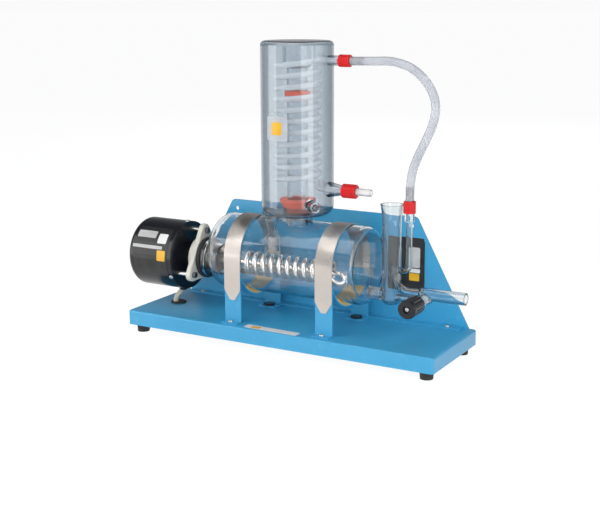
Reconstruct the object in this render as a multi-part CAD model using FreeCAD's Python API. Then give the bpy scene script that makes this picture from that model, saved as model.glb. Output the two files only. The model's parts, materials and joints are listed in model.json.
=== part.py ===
import FreeCAD, Part
import math
import os

# A glass water distiller for a laboratory bench, in millimetres.
# +Z is up, the front faces -Y, and the origin is on the bench under the middle of the base tray.
# Heights named ..._level are measured up from the top of the base tray.

# Base tray, folded from painted sheet steel
base_length = 500.0
base_depth = 155.0
tray_height = 22.0
tray_sheet = 1.5
tray_corner_radius = 4.0
tray_bend_radius = 3.0
tray_lip_width = 30.0

# Rubber feet and their fasteners
foot_height = 12.0
foot_radius = 10.0
foot_taper = 1.0
foot_inset_x = 16.0
foot_inset_y = 16.0
foot_screw_radius = 2.0
foot_head_radius = 3.8
foot_head_height = 2.4
foot_recess_depth = 5.0
foot_nut_radius = 3.6
foot_nut_height = 3.0

# Clearances shared by every fit
fit_gap = 0.3
hole_gap = 0.2
running_gap = 0.05
cut_overrun = 2.0

# Back panel
panel_sheet = 2.0
panel_height = 155.0
panel_top_half_width = 157.0
panel_bottom_half_width = 240.0
panel_corner_radius = 8.0
panel_flange_depth = 16.0
panel_flange_inset = 8.0
panel_hole_radius = 3.0
panel_hole_half_spacing = 149.0
panel_hole_level = 141.0
panel_screw_spacing = 140.0
panel_screw_count = 4

# Small machine screws and nuts for the sheet metal
screw_radius = 2.0
screw_head_radius = 3.8
screw_head_height = 2.2
screw_nut_radius = 3.6
screw_nut_height = 3.0
drive_radius = 1.3
drive_depth = 1.2

# Boiler, a horizontal glass cylinder along X
boiler_level = 93.3
boiler_margin = 21.5
boiler_wall = 3.0
boiler_left = -127.0
boiler_right = 117.4
boiler_left_round = 18.0
boiler_right_round = 8.0
boiler_neck_radius = 22.0
boiler_neck_height = 2.7
drip_neck_wall = 3.0
drip_neck_height = 2.2

# Saddles, pads and straps that hold the boiler
saddle_half_spacing = 75.0
saddle_width = 27.0
saddle_sheet = 2.0
saddle_front_foot = 12.0
saddle_rear_foot = 18.0
saddle_bend_radius = 1.5
pad_thickness = 3.0
pad_half_angle = 42.0
strap_sheet = 1.2
strap_shoulder_level = 48.0
strap_tip_level = 33.0
strap_tip_half_width = 4.0
strap_shoulder_round = 6.0
strap_tip_round = 3.0
strap_stud_level = 44.0
strap_stud_radius = 2.0
strap_nut_radius = 3.5
strap_nut_height = 3.0

# Black-headed screws that hold the saddles at the back
saddle_cap_radius = 9.0
saddle_cap_height = 3.0

# Heater neck of the boiler, which sits low so that the coil stays under water
heater_level = 76.5
neck_radius = 24.0
neck_wall = 3.0
neck_flange_radius = 29.0
neck_flange_thickness = 6.7
neck_end = -151.2

# Rubber bung between the neck and the clamp flange
bung_radius = 30.7
bung_flange_thickness = 6.5
bung_plug_length = 20.0
bung_plug_taper = 1.2
bung_edge_round = 1.0

# Clamp flange with three lobes and a hub, a casting
lobe_count = 3
lobe_circle_radius = 41.0
lobe_radius = 10.0
flange_thickness = 8.0
hub_radius = 31.0
hub_thickness = 6.0
hub_round = 3.0
flange_edge_round = 1.5

# Bolts and spacers between the clamp flange and the terminal housing
bolt_radius = 2.5
bolt_head_radius = 4.6
bolt_head_height = 4.5
bolt_socket_radius = 2.0
bolt_socket_depth = 2.5
bolt_grip = 5.6
bolt_edge_round = 0.6
spacer_radius = 3.6
spacer_length = 22.0

# Terminal housing of the heater
disc_thickness = 8.0
disc_edge_round = 1.0
boss_radius = 19.0
cover_radius = 52.0
cover_wall = 3.0
cover_length = 81.5
cover_end_round = 10.0
cover_rim_round = 0.8
cover_screw_radius = 2.0
cover_screw_head_radius = 3.4
cover_screw_head_height = 1.8
cover_screw_length = 7.5
cover_screw_inset = 4.0
gland_radius = 7.0
gland_inset = 7.0
gland_height = 4.0
gland_neck_radius = 4.8
gland_neck_rise = 1.0
terminal_block_length = 14.0
terminal_block_width = 44.0
terminal_block_height = 28.0
terminal_block_round = 1.5
terminal_stud_radius = 3.0
terminal_stud_length = 9.0
terminal_washer_radius = 4.8
cutout_radius = 9.0
cutout_height = 8.0
cutout_drop = 22.0
cutout_blade_length = 8.0
cutout_blade_width = 3.2
cutout_blade_sheet = 0.8
cutout_blade_spacing = 9.0

# Heater, one metal-sheathed rod wound into a coil that returns through its own middle
rod_radius = 3.6
coil_radius = 14.6
coil_pitch = 13.8
coil_turns = 11
coil_left = -91.0
coil_lead_length = 17.0
coil_hook_length = 17.0
coil_hook_radius = 8.0
coil_start_swing = 65.0
coil_hook_swing = 75.0
rod_gland_radius = 6.0
rod_gland_length = 8.0

# Heater cable from the housing to the tray
cable_radius = 3.7
grommet_x = -209.5
grommet_y = -4.0
grommet_radius = 12.0
grommet_waist_radius = 9.0
grommet_lip_height = 2.0
cable_offset_x = -4.2
cable_offset_y = -2.0
cable_top_level = 40.0
cable_gland_level = 22.0
cable_foot_level = 8.0
strip_length = 44.0
strip_width = 16.0
strip_height = 9.0
strip_foot_length = 6.0
strip_drop = 4.0
mains_gland_y = 45.0
mains_gland_radius = 7.0
mains_gland_length = 12.0
mains_gland_nut = 3.0
mains_gland_bore = 4.0
mains_gland_neck_radius = 5.5

# Condenser, a vertical glass jacket over the boiler, its heights measured up from the boiler neck's rim
condenser_x = 2.0
jacket_radius = 52.0
jacket_wall = 2.6
jacket_bottom_rise = 6.0
jacket_top_rise = 252.0
jacket_top_round = 7.0
jacket_bottom_round = 14.0
collar_radius = 21.0
collar_wall = 3.0
collar_top_rise = 16.0
joint_seal_height = 2.0

# Side ports of the condenser
upper_port_rise = 225.6
lower_port_rise = 45.0
port_radius = 7.0
port_bore = 4.3
port_cone_radius = 11.5
port_cone_length = 21.0
port_cone_bore = 8.6
outlet_rise = 26.0
outlet_angle = 50.0
outlet_radius = 7.5
outlet_bore = 5.0
outlet_root_radius = 9.5
outlet_reach = 19.0
outlet_spigot_length = 12.0

# Steam riser inside the condenser
riser_radius = 15.0
riser_wall = 2.5
riser_foot_drop = 12.0
riser_bulb_rise = 214.0
riser_top_rise = 244.0
riser_bulb_radius = 20.5
riser_bulb_round = 6.0
riser_bung_top_rise = 28.0
riser_bung_top_radius = 26.0
riser_bung_plug_length = 8.0
riser_bung_rim = 3.0
riser_bung_round = 1.0
band_rise = 174.0
band_height = 8.0
band_thickness = 3.0

# Drip tube from the condenser into the boiler
drip_x = -42.0
drip_radius = 5.0
drip_wall = 1.4
drip_funnel_radius = 13.6
drip_bell_radius = 11.0
drip_throat_drop = 25.5
drip_throat_length = 4.0
drip_bell_clearance = 3.8
drip_bell_rise = 6.0
drip_bell_round = 3.0
drip_throat_round = 2.0

# Condenser coil, a glass tube
glass_coil_tube = 4.0
glass_coil_radius = 31.0
glass_coil_pitch = 16.0
glass_coil_turns = 10
glass_coil_bottom_rise = 45.0
glass_coil_lead = 42.0
glass_coil_entry_angle = 70.0

# Screw caps, seals and hose connectors
small_cap_radius = 8.6
small_cap_length = 17.0
large_cap_radius = 10.0
large_cap_length = 21.0
upper_cap_x = 70.0
lower_cap_x = 76.0
level_cap_level = 174.0
cap_end_wall = 2.5
cap_edge_round = 0.6
cap_flutes = 14
cap_flute_radius = 1.3
cap_flute_depth = 0.7
cap_flute_share = 0.62
cap_collar_share = 0.22
seal_thickness = 2.0
connector_disc_thickness = 1.6
connector_stem_radius = 4.6
barb_radius = 3.8
barb_bore = 2.4
barb_length = 19.0
nozzle_radius = 5.2
nozzle_bore = 3.4
nozzle_length = 22.0

# Cooling water hose
hose_radius = 6.0
hose_bore = 4.1

# Points of the hose's bow, in X and Z from the upper cap's mouth
hose_bow = [(48.0, 0.3), (77.0, 1.9), (106.0, -4.6), (131.0, -23.6), (145.0, -50.6), (142.0, -78.6),
            (128.0, -107.6), (114.0, -135.6), (108.0, -160.6)]

# Level device
level_x = 152.0
chamber_radius = 13.7
chamber_wall = 2.0
chamber_bottom_level = 43.0
chamber_bottom_round = 8.0
chamber_mouth_level = 184.0
chamber_flare_level = 165.0
chamber_flare_round = 20.0
mouth_radius = 16.7
feed_level = 56.0
feed_radius = 7.0
feed_wall = 2.0
boiler_stub_length = 9.6
level_stub_x = 128.0
sleeve_radius = 9.5
sleeve_inset = 9.0
inlet_x = 178.0
inlet_radius = 4.5
inlet_wall = 1.2
inlet_join_level = 92.0
inlet_bend_radius = 9.0
inlet_thread_length = 22.0
standpipe_offset = 5.0
standpipe_radius = 5.5
standpipe_wall = 1.4
standpipe_top_level = 98.0
standpipe_bend_radius = 22.0
waste_level = 63.5
waste_radius = 8.8
waste_wall = 2.0
waste_start_x = 194.0
waste_end_x = 263.0
waste_end_radius = 8.6
waste_end_length = 40.0
waste_shoulder_round = 6.0

# Drain tap
tap_x = 206.5
tap_level = 58.0
barrel_radius = 8.4
barrel_bore = 5.6
barrel_mouth_y = -30.0
barrel_end_y = 2.0
barrel_seat_y = -8.6
barrel_rim_radius = 9.8
barrel_rim_length = 3.0
seat_bore = 2.4
drain_arm_start_y = -5.0
drain_arm_end_y = -13.0
drain_arm_start_level = 54.5
drain_arm_radius = 5.0
drain_arm_wall = 1.4
key_tip_length = 3.0
key_tip_radius = 3.0
key_collar_radius = 7.6
key_collar_length = 3.6
key_stem_radius = 3.2
key_stem_length = 17.0
key_groove_y = -22.0
key_groove_width = 1.7
key_groove_depth = 1.3
ring_thickness = 1.3
knob_radius = 13.0
knob_length = 33.0
knob_start_y = -36.0
knob_round = 2.0
knob_flutes = 9
knob_flute_radius = 3.0
knob_flute_depth = 1.2
knob_recess_radius = 5.2
knob_recess_depth = 3.0
knob_screw_radius = 1.5
knob_screw_head_radius = 3.0
knob_screw_head_height = 2.0
knob_screw_grip = 10.0

# Worked out from the sizes above
base_top = foot_height + tray_height
boiler_radius = base_depth / 2 - boiler_margin
boiler_z = base_top + boiler_level
heater_z = base_top + heater_level
feed_z = base_top + feed_level
tap_z = base_top + tap_level
strap_inner_radius = boiler_radius + fit_gap
pad_inner_radius = boiler_radius + fit_gap
cradle_radius = pad_inner_radius + pad_thickness
panel_rear_y = base_depth / 2 - tray_bend_radius
bung_face_x = neck_end - fit_gap - bung_flange_thickness
flange_left_x = bung_face_x - flange_thickness
hub_left_x = flange_left_x - hub_thickness
disc_face_x = flange_left_x - spacer_length
disc_back_x = disc_face_x - disc_thickness
disc_radius = cover_radius - cover_wall - hole_gap
cover_end_x = disc_face_x - cover_length
block_end_x = disc_back_x - terminal_block_length
gland_x = disc_back_x - gland_inset
lead_z = heater_z + coil_radius
return_z = heater_z
neck_rim_level = boiler_level + boiler_radius + boiler_neck_height
neck_rim_z = base_top + neck_rim_level
jacket_bottom_level = neck_rim_level + jacket_bottom_rise
jacket_top_level = neck_rim_level + jacket_top_rise
collar_top_level = neck_rim_level + collar_top_rise
upper_port_level = neck_rim_level + upper_port_rise
lower_port_level = neck_rim_level + lower_port_rise
outlet_level = neck_rim_level + outlet_rise
riser_foot_level = neck_rim_level - riser_foot_drop
riser_bulb_level = neck_rim_level + riser_bulb_rise
riser_top_level = neck_rim_level + riser_top_rise
riser_bung_top_level = neck_rim_level + riser_bung_top_rise
band_level = neck_rim_level + band_rise
glass_coil_bottom_level = neck_rim_level + glass_coil_bottom_rise
drip_rim_level = boiler_level + boiler_radius + drip_neck_height
drip_rim_z = base_top + drip_rim_level
drip_top_level = jacket_bottom_level - fit_gap
drip_throat_level = drip_rim_level - drip_throat_drop
drip_bell_top_level = drip_throat_level - drip_throat_length
drip_bell_bottom_level = heater_level + coil_radius + rod_radius + drip_bell_clearance
drip_funnel_share = drip_throat_drop / (drip_top_level - drip_throat_level)
drip_neck_bore = drip_radius + (drip_funnel_radius - drip_radius) * drip_funnel_share + fit_gap
drip_neck_radius = drip_neck_bore + drip_neck_wall
cap_stack = cap_end_wall + fit_gap + connector_disc_thickness + seal_thickness
boiler_stub_x = boiler_right + boiler_stub_length
lobe_angles = [90 + 360 / lobe_count * i for i in range(lobe_count)]

Vector = FreeCAD.Vector
along_x = Vector(1, 0, 0)
along_y = Vector(0, 1, 0)
along_z = Vector(0, 0, 1)


def fused(shapes):
    """Joins solids into one and drops the seams between them."""
    shapes = list(shapes)
    whole = shapes[0]
    if len(shapes) > 1:
        whole = whole.fuse(shapes[1:])
    return whole.removeSplitter()


def group(solids):
    """Keeps separate solids together in one node."""
    return Part.makeCompound(list(solids))


def rod(radius, start, end):
    """A round bar from one point to another."""
    line = end - start
    return Part.makeCylinder(radius, line.Length, start, line)


def tube(outer, inner, start, end):
    """A round bar with a bore."""
    return rod(outer, start, end).cut(rod(inner, start, end))


def cone(radius_a, radius_b, start, end):
    line = end - start
    return Part.makeCone(radius_a, radius_b, line.Length, start, line)


def block(low, high):
    size = high - low
    return Part.makeBox(size.x, size.y, size.z, low)


def outline(points, rounds):
    """A closed wire through 2D points, each corner rounded by its own radius, in the XZ plane."""
    corners = [Vector(x, 0, z) for x, z in points]
    count = len(corners)
    starts, ends, mids = [], [], []
    for i, corner in enumerate(corners):
        before = (corners[i - 1] - corner).normalize()
        after = (corners[(i + 1) % count] - corner).normalize()
        radius = rounds[i]
        if radius <= 0:
            starts.append(corner)
            ends.append(corner)
            mids.append(None)
            continue
        half = before.getAngle(after) / 2
        reach = radius / math.tan(half)
        middle = (before + after).normalize()
        starts.append(corner + before * reach)
        ends.append(corner + after * reach)
        mids.append(corner + middle * (radius / math.sin(half) - radius))
    edges = []
    for i in range(count):
        if mids[i] is not None:
            edges.append(Part.Arc(starts[i], mids[i], ends[i]).toShape())
        following = starts[(i + 1) % count]
        if (following - ends[i]).Length > 1e-6:
            edges.append(Part.makeLine(ends[i], following))
    return Part.Wire(edges)


def placed(shape, origin, direction):
    """Turns a shape's +Z to a direction and moves it to an origin."""
    shape = shape.copy()
    shape.Placement = FreeCAD.Placement(origin, FreeCAD.Rotation(along_z, direction))
    return shape


def turned(points, rounds, origin, direction):
    """Revolves an outline of (radius, distance) about the line through the origin."""
    face = Part.Face(outline(points, rounds))
    return placed(face.revolve(Vector(0, 0, 0), along_z, 360), origin, direction)


def vessel(radius, low, high, round_low, round_high, inset, origin, direction):
    """A closed round vessel, drawn in by an inset on every side."""
    r, a, b = radius - inset, low + inset, high - inset
    points = [(0, a), (r, a), (r, b), (0, b)]
    rounds = [0, max(round_low - inset, 0), max(round_high - inset, 0), 0]
    return turned(points, rounds, origin, direction)


def prism(points, rounds, start, thickness):
    """An outline in the XZ plane, moved to a Y and made a plate that thick."""
    face = Part.Face(outline(points, rounds))
    face.translate(Vector(0, start, 0))
    return face.extrude(Vector(0, thickness, 0))


def ring_of(shape, angles, origin, direction):
    """Copies a shape to several angles about an axis."""
    copies = []
    for angle in angles:
        turned_copy = shape.copy()
        turned_copy.rotate(origin, direction, angle)
        copies.append(turned_copy)
    return copies


def arc_edge(start, tangent, end):
    """An arc that leaves its start along a tangent, and a line where that is straight."""
    chord = end - start
    unit = Vector(chord).normalize()
    sideways = tangent - unit * tangent.dot(unit)
    if sideways.Length < 1e-9:
        return Part.makeLine(start, end), unit
    angle = tangent.getAngle(unit)
    sideways.normalize()
    bulge = chord.Length / 2 * math.tan(angle / 2)
    middle = start + chord * 0.5 + sideways * bulge
    leaving = unit * (2 * tangent.dot(unit)) - tangent
    return Part.Arc(start, middle, end).toShape(), leaving


def biarc(start, tangent, end, end_tangent):
    """Two arcs that join two points smoothly in space."""
    chord = end - start
    both = tangent + end_tangent
    a = 2 * (1 - tangent.dot(end_tangent))
    b = 2 * chord.dot(both)
    c = -chord.dot(chord)
    if abs(a) < 1e-9:
        reach = -c / b
    else:
        reach = (-b + math.sqrt(b * b - 4 * a * c)) / (2 * a)
    joint = (start + tangent * reach + end - end_tangent * reach) * 0.5
    first, through = arc_edge(start, tangent, joint)
    second, leaving = arc_edge(joint, through, end)
    return [first, second]


def helix_stations(radius, pitch, turns, start_angle, per_turn):
    """Points and tangents along a helix about +Z, four or more to a turn."""
    stations = []
    for i in range(turns * per_turn + 1):
        angle = math.radians(start_angle) + 2 * math.pi * i / per_turn
        point = Vector(radius * math.cos(angle), radius * math.sin(angle), pitch * i / per_turn)
        tangent = Vector(-radius * math.sin(angle), radius * math.cos(angle), pitch / (2 * math.pi))
        stations.append((point, tangent.normalize()))
    return stations


def path_through(stations):
    """One smooth wire of arcs and lines through points with tangents."""
    edges = []
    for (p, t), (q, u) in zip(stations, stations[1:]):
        line = Vector(q - p).normalize()
        if (line - t).Length < 1e-7 and (line - u).Length < 1e-7:
            edges.append(Part.makeLine(p, q))
        else:
            edges += biarc(p, t, q, u)
    return edges


def swept(edges, radius, start, tangent):
    """A round tube along a chain of edges."""
    wire = Part.Wire(edges)
    profile = Part.Wire(Part.makeCircle(radius, start, tangent))
    return wire.makePipeShell([profile], True, False)


def report_tube(name, edges, solid, radius, window):
    """Prints a tube's tightest bend, its least gap to itself and how its volume compares."""
    bends = [e.Curve.Radius for e in edges if hasattr(e.Curve, "Radius")]
    length = sum(e.Length for e in edges)
    points, run = [], 0.0
    for edge in edges:
        steps = max(2, int(edge.Length / radius) + 1)
        low, high = edge.ParameterRange
        for i in range(steps):
            point = edge.valueAt(low + (high - low) * i / steps)
            points.append((run + edge.Length * i / steps, point))
        run += edge.Length
    gap = None
    for i, (a, p) in enumerate(points):
        for b, q in points[i + 1:]:
            if b - a > window:
                distance = (p - q).Length - 2 * radius
                gap = distance if gap is None else min(gap, distance)
    volume = solid.Volume / (math.pi * radius ** 2 * length)
    print(f"{name}: length {length:.1f}, tightest bend {min(bends):.1f},"
          f" least gap to itself {gap:.2f}, volume over section times length {volume:.4f}")


def cord_path(points):
    """Straight runs joined by tangent arcs, each as large as its two runs allow."""
    edges, radii, here = [], [], points[0]
    for before, corner, after in zip(points, points[1:], points[2:]):
        back, forth = before - corner, after - corner
        half_turn = (math.pi - back.getAngle(forth)) / 2
        reach = 0.45 * min(back.Length, forth.Length)
        radius = reach / math.tan(half_turn)
        radii.append(round(radius, 1))
        back.normalize()
        forth.normalize()
        start, end = corner + back * reach, corner + forth * reach
        middle = (back + forth).normalize()
        apex = corner + middle * (radius / math.cos(half_turn) - radius)
        if (start - here).Length > 1e-6:
            edges.append(Part.LineSegment(here, start).toShape())
        edges.append(Part.Arc(start, apex, end).toShape())
        here = end
    edges.append(Part.LineSegment(here, points[-1]).toShape())
    return edges, radii


def pan_screw(radius, head_radius, head_height, length, top, direction):
    """A pan-head screw whose head rises from a point and whose shank goes the other way."""
    head = turned(
        [(0, 0), (head_radius, 0), (head_radius, head_height), (0, head_height)],
        [0, 0, head_height * 0.7, 0], top, direction)
    shank = rod(radius, top - direction * length, top)
    drive = Part.makeCylinder(drive_radius, drive_depth * 2, top + direction * (head_height - drive_depth),
                              direction)
    return head.fuse(shank).cut(drive)


def hex_nut(radius, height, bore, start, direction):
    """A hexagonal nut that starts at a point and grows along a direction."""
    corners = [Vector(radius * math.cos(math.pi / 3 * i), radius * math.sin(math.pi / 3 * i), 0)
               for i in range(6)]
    body = Part.Face(Part.makePolygon(corners + corners[:1])).extrude(Vector(0, 0, height))
    nut = body.cut(Part.makeCylinder(bore, height))
    return placed(nut, start, direction)


def elbow(radius, start, tangent, centre, axis, angle):
    """A bent round bar: a disc at the start, swung about an axis."""
    disc = Part.Face(Part.Wire(Part.makeCircle(radius, start, tangent)))
    bent = disc.revolve(centre, axis, angle)
    if bent.Volume < 0:
        bent.reverse()
    return bent


def corner_places():
    """The four feet, by the corners of the tray."""
    x = base_length / 2 - foot_inset_x
    y = base_depth / 2 - foot_inset_y
    return [(i * x, j * y) for i in (-1, 1) for j in (-1, 1)]


saddle_front_y = -(strap_inner_radius + saddle_front_foot / 2)
saddle_rear_y = strap_inner_radius - saddle_sheet - saddle_bend_radius - hole_gap - saddle_cap_radius
panel_flange_screw_y = panel_rear_y - panel_flange_depth * 0.6
panel_screw_places = [panel_screw_spacing * (i - (panel_screw_count - 1) / 2)
                      for i in range(panel_screw_count)]
saddle_places = [(i * saddle_half_spacing, y) for i in (-1, 1) for y in (saddle_front_y, saddle_rear_y)]
strap_places = [(i * saddle_half_spacing, j) for i in (-1, 1) for j in (-1, 1)]


def make_base_tray():
    """A folded tray with a top, four walls and a lip turned in all round under it."""
    x, y = base_length / 2, base_depth / 2

    def rounded_box(inset):
        low, high = foot_height + inset, base_top - inset
        box = block(Vector(inset - x, inset - y, low), Vector(x - inset, y - inset, high))
        uprights = [e for e in box.Edges if abs(e.tangentAt(e.FirstParameter).z) > 0.9]
        box = box.makeFillet(tray_corner_radius - inset, uprights)
        rim = [e for e in box.Edges if abs(e.CenterOfMass.z - high) < 1e-6]
        return box.makeFillet(tray_bend_radius - inset, rim)

    tray = rounded_box(0).cut(rounded_box(tray_sheet))
    under, over = foot_height - cut_overrun, base_top + cut_overrun
    lip_over, top_under = foot_height + tray_sheet * 2, base_top - tray_sheet * 2
    lip = tray_lip_width
    holes = [block(Vector(lip - x, lip - y, under), Vector(x - lip, y - lip, lip_over))]
    for px, py in corner_places():
        holes.append(rod(foot_screw_radius + hole_gap, Vector(px, py, under), Vector(px, py, lip_over)))
    for px, py in saddle_places + [(place, panel_flange_screw_y) for place in panel_screw_places]:
        holes.append(rod(screw_radius + hole_gap, Vector(px, py, top_under), Vector(px, py, over)))
    holes.append(rod(grommet_waist_radius, Vector(grommet_x, grommet_y, top_under),
                     Vector(grommet_x, grommet_y, over)))
    z = foot_height + tray_height / 2
    holes.append(rod(mains_gland_neck_radius + hole_gap, Vector(-x - cut_overrun, mains_gland_y, z),
                     Vector(tray_sheet * 2 - x, mains_gland_y, z)))
    return tray.cut(holes)


def make_rubber_feet():
    feet = []
    for x, y in corner_places():
        foot = cone(foot_radius - foot_taper, foot_radius, Vector(x, y, 0), Vector(x, y, foot_height))
        bore = rod(foot_screw_radius + hole_gap, Vector(x, y, 0), Vector(x, y, foot_height))
        recess = rod(foot_head_radius + hole_gap, Vector(x, y, 0), Vector(x, y, foot_recess_depth))
        feet.append(foot.cut([bore, recess]))
    return group(feet)


def make_foot_screws():
    length = foot_height - foot_recess_depth + tray_sheet + foot_nut_height
    return group(pan_screw(foot_screw_radius, foot_head_radius, foot_head_height, length,
                           Vector(x, y, foot_recess_depth), Vector(0, 0, -1)) for x, y in corner_places())


def make_foot_nuts():
    start = foot_height + tray_sheet
    return group(hex_nut(foot_nut_radius, foot_nut_height, foot_screw_radius, Vector(x, y, start), along_z)
                 for x, y in corner_places())


def make_back_panel():
    """A trapezoid of sheet with a foot flange folded forwards and two wall holes."""
    low, high = base_top, base_top + panel_height
    points = [(-panel_bottom_half_width, low), (panel_bottom_half_width, low),
              (panel_top_half_width, high), (-panel_top_half_width, high)]
    rounds = [0, 0, panel_corner_radius, panel_corner_radius]
    panel = prism(points, rounds, panel_rear_y - panel_sheet, panel_sheet)
    half = panel_bottom_half_width - panel_flange_inset
    flange = block(Vector(-half, panel_rear_y - panel_flange_depth, low),
                   Vector(half, panel_rear_y, low + panel_sheet))
    panel = fused([panel, flange])
    past = cut_overrun
    cuts = []
    for side in (-1, 1):
        x, z = side * panel_hole_half_spacing, base_top + panel_hole_level
        cuts.append(rod(panel_hole_radius, Vector(x, panel_rear_y - panel_sheet - past, z),
                        Vector(x, panel_rear_y + past, z)))
    for x in panel_screw_places:
        cuts.append(rod(screw_radius + hole_gap, Vector(x, panel_flange_screw_y, low - past),
                        Vector(x, panel_flange_screw_y, low + panel_sheet + past)))
    return panel.cut(cuts)


def make_panel_screws():
    length = panel_sheet + tray_sheet + screw_nut_height
    return group(pan_screw(screw_radius, screw_head_radius, screw_head_height, length,
                           Vector(x, panel_flange_screw_y, base_top + panel_sheet), along_z)
                 for x in panel_screw_places)


def make_saddle(x):
    """Two uprights with a foot each, joined by a cradle bent to the boiler."""
    half = saddle_width / 2
    face, sheet, bend = strap_inner_radius, saddle_sheet, saddle_bend_radius
    top = boiler_z - math.sqrt(cradle_radius ** 2 - face ** 2)
    start, end = Vector(x - half, 0, boiler_z), Vector(x + half, 0, boiler_z)
    cradle = rod(cradle_radius + sheet, start, end)
    cradle = cradle.common(block(Vector(x - half, -face, base_top), Vector(x + half, face, top)))
    pieces = [cradle]
    floor = base_top + sheet
    for side, outwards, reach in ((-1, -1, saddle_front_foot), (1, -1, saddle_rear_foot)):
        near, far = sorted((side * face, side * (face - sheet)))
        pieces.append(block(Vector(x - half, near, base_top), Vector(x + half, far, top)))
        root = near if outwards < 0 else far
        low, high = sorted((root, root + outwards * reach))
        pieces.append(block(Vector(x - half, min(low, near), base_top),
                            Vector(x + half, max(high, far), floor)))
        low, high = sorted((root, root + outwards * bend))
        corner = block(Vector(x - half, low, floor), Vector(x + half, high, floor + bend))
        middle = root + outwards * bend
        pieces.append(corner.cut(rod(bend, Vector(x - half, middle, floor + bend),
                                     Vector(x + half, middle, floor + bend))))
    saddle = fused(pieces)
    past = cut_overrun
    cuts = [rod(cradle_radius, start - along_x * past, end + along_x * past)]
    for y in (saddle_front_y, saddle_rear_y):
        cuts.append(rod(screw_radius + hole_gap, Vector(x, y, base_top - past), Vector(x, y, floor + past)))
    z = base_top + strap_stud_level
    for side in (-1, 1):
        cuts.append(rod(strap_stud_radius + hole_gap, Vector(x, side * (face - sheet - past), z),
                        Vector(x, side * (face + past), z)))
    return saddle.cut(cuts)


def make_saddle_screws():
    length = saddle_sheet + tray_sheet + screw_nut_height
    return group(pan_screw(screw_radius, screw_head_radius, screw_head_height, length,
                           Vector(i * saddle_half_spacing, saddle_front_y, base_top + saddle_sheet), along_z)
                 for i in (-1, 1))


def make_saddle_caps():
    """Screws with wide black heads at the saddles' rear feet."""
    caps = []
    length = saddle_sheet + tray_sheet + screw_nut_height
    for i in (-1, 1):
        foot = Vector(i * saddle_half_spacing, saddle_rear_y, base_top + saddle_sheet)
        head = turned([(0, 0), (saddle_cap_radius, 0), (saddle_cap_radius, saddle_cap_height),
                       (0, saddle_cap_height)],
                      [0, 0, saddle_cap_height * 0.6, 0], foot, along_z)
        caps.append(fused([head, rod(screw_radius, foot - along_z * length, foot)]))
    return group(caps)


def make_tray_nuts():
    """Nuts under the tray for the saddle and panel screws."""
    places = saddle_places + [(x, panel_flange_screw_y) for x in panel_screw_places]
    return group(hex_nut(screw_nut_radius, screw_nut_height, screw_radius,
                         Vector(x, y, base_top - tray_sheet), Vector(0, 0, -1)) for x, y in places)


def make_saddle_pads():
    """Curved cork pads between the saddles and the glass."""
    pads = []
    half, reach = saddle_width / 2, cradle_radius * 2
    spread = math.tan(math.radians(pad_half_angle)) * reach
    for i in (-1, 1):
        x = i * saddle_half_spacing
        start, end = Vector(x - half, 0, boiler_z), Vector(x + half, 0, boiler_z)
        ring = tube(cradle_radius, pad_inner_radius, start, end)
        wedge = Part.makePolygon([start, start + Vector(0, -spread, -reach),
                                  start + Vector(0, spread, -reach), start])
        pads.append(ring.common(Part.Face(wedge).extrude(end - start)))
    return group(pads)


def make_strap(x):
    """A band over the boiler with a straight tail, drawn in to a rounded tip, on each side."""
    half = saddle_width / 2
    inner, outer = strap_inner_radius, strap_inner_radius + strap_sheet
    start, end = Vector(x - half, 0, boiler_z), Vector(x + half, 0, boiler_z)
    band = tube(outer, inner, start, end)
    band = band.common(block(Vector(x - half, -outer, boiler_z), Vector(x + half, outer, boiler_z + outer)))
    shoulder, tip, z = (base_top + v for v in (strap_shoulder_level, strap_tip_level, strap_stud_level))
    points = [(x - half, shoulder), (x - strap_tip_half_width, tip), (x + strap_tip_half_width, tip),
              (x + half, shoulder), (x + half, boiler_z), (x - half, boiler_z)]
    rounds = [strap_shoulder_round, strap_tip_round, strap_tip_round, strap_shoulder_round, 0, 0]
    pieces = [band]
    for side in (-1, 1):
        pieces.append(prism(points, rounds, min(side * inner, side * outer), strap_sheet))
        length = saddle_sheet + strap_nut_height
        pieces.append(rod(strap_stud_radius, Vector(x, side * (inner - length), z),
                          Vector(x, side * (inner + strap_sheet / 2), z)))
    return fused(pieces)


def make_strap_nuts():
    nuts = []
    for x, side in strap_places:
        start = Vector(x, side * (strap_inner_radius - saddle_sheet), base_top + strap_stud_level)
        nuts.append(hex_nut(strap_nut_radius, strap_nut_height, strap_stud_radius, start,
                            Vector(0, -side, 0)))
    return group(nuts)


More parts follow.
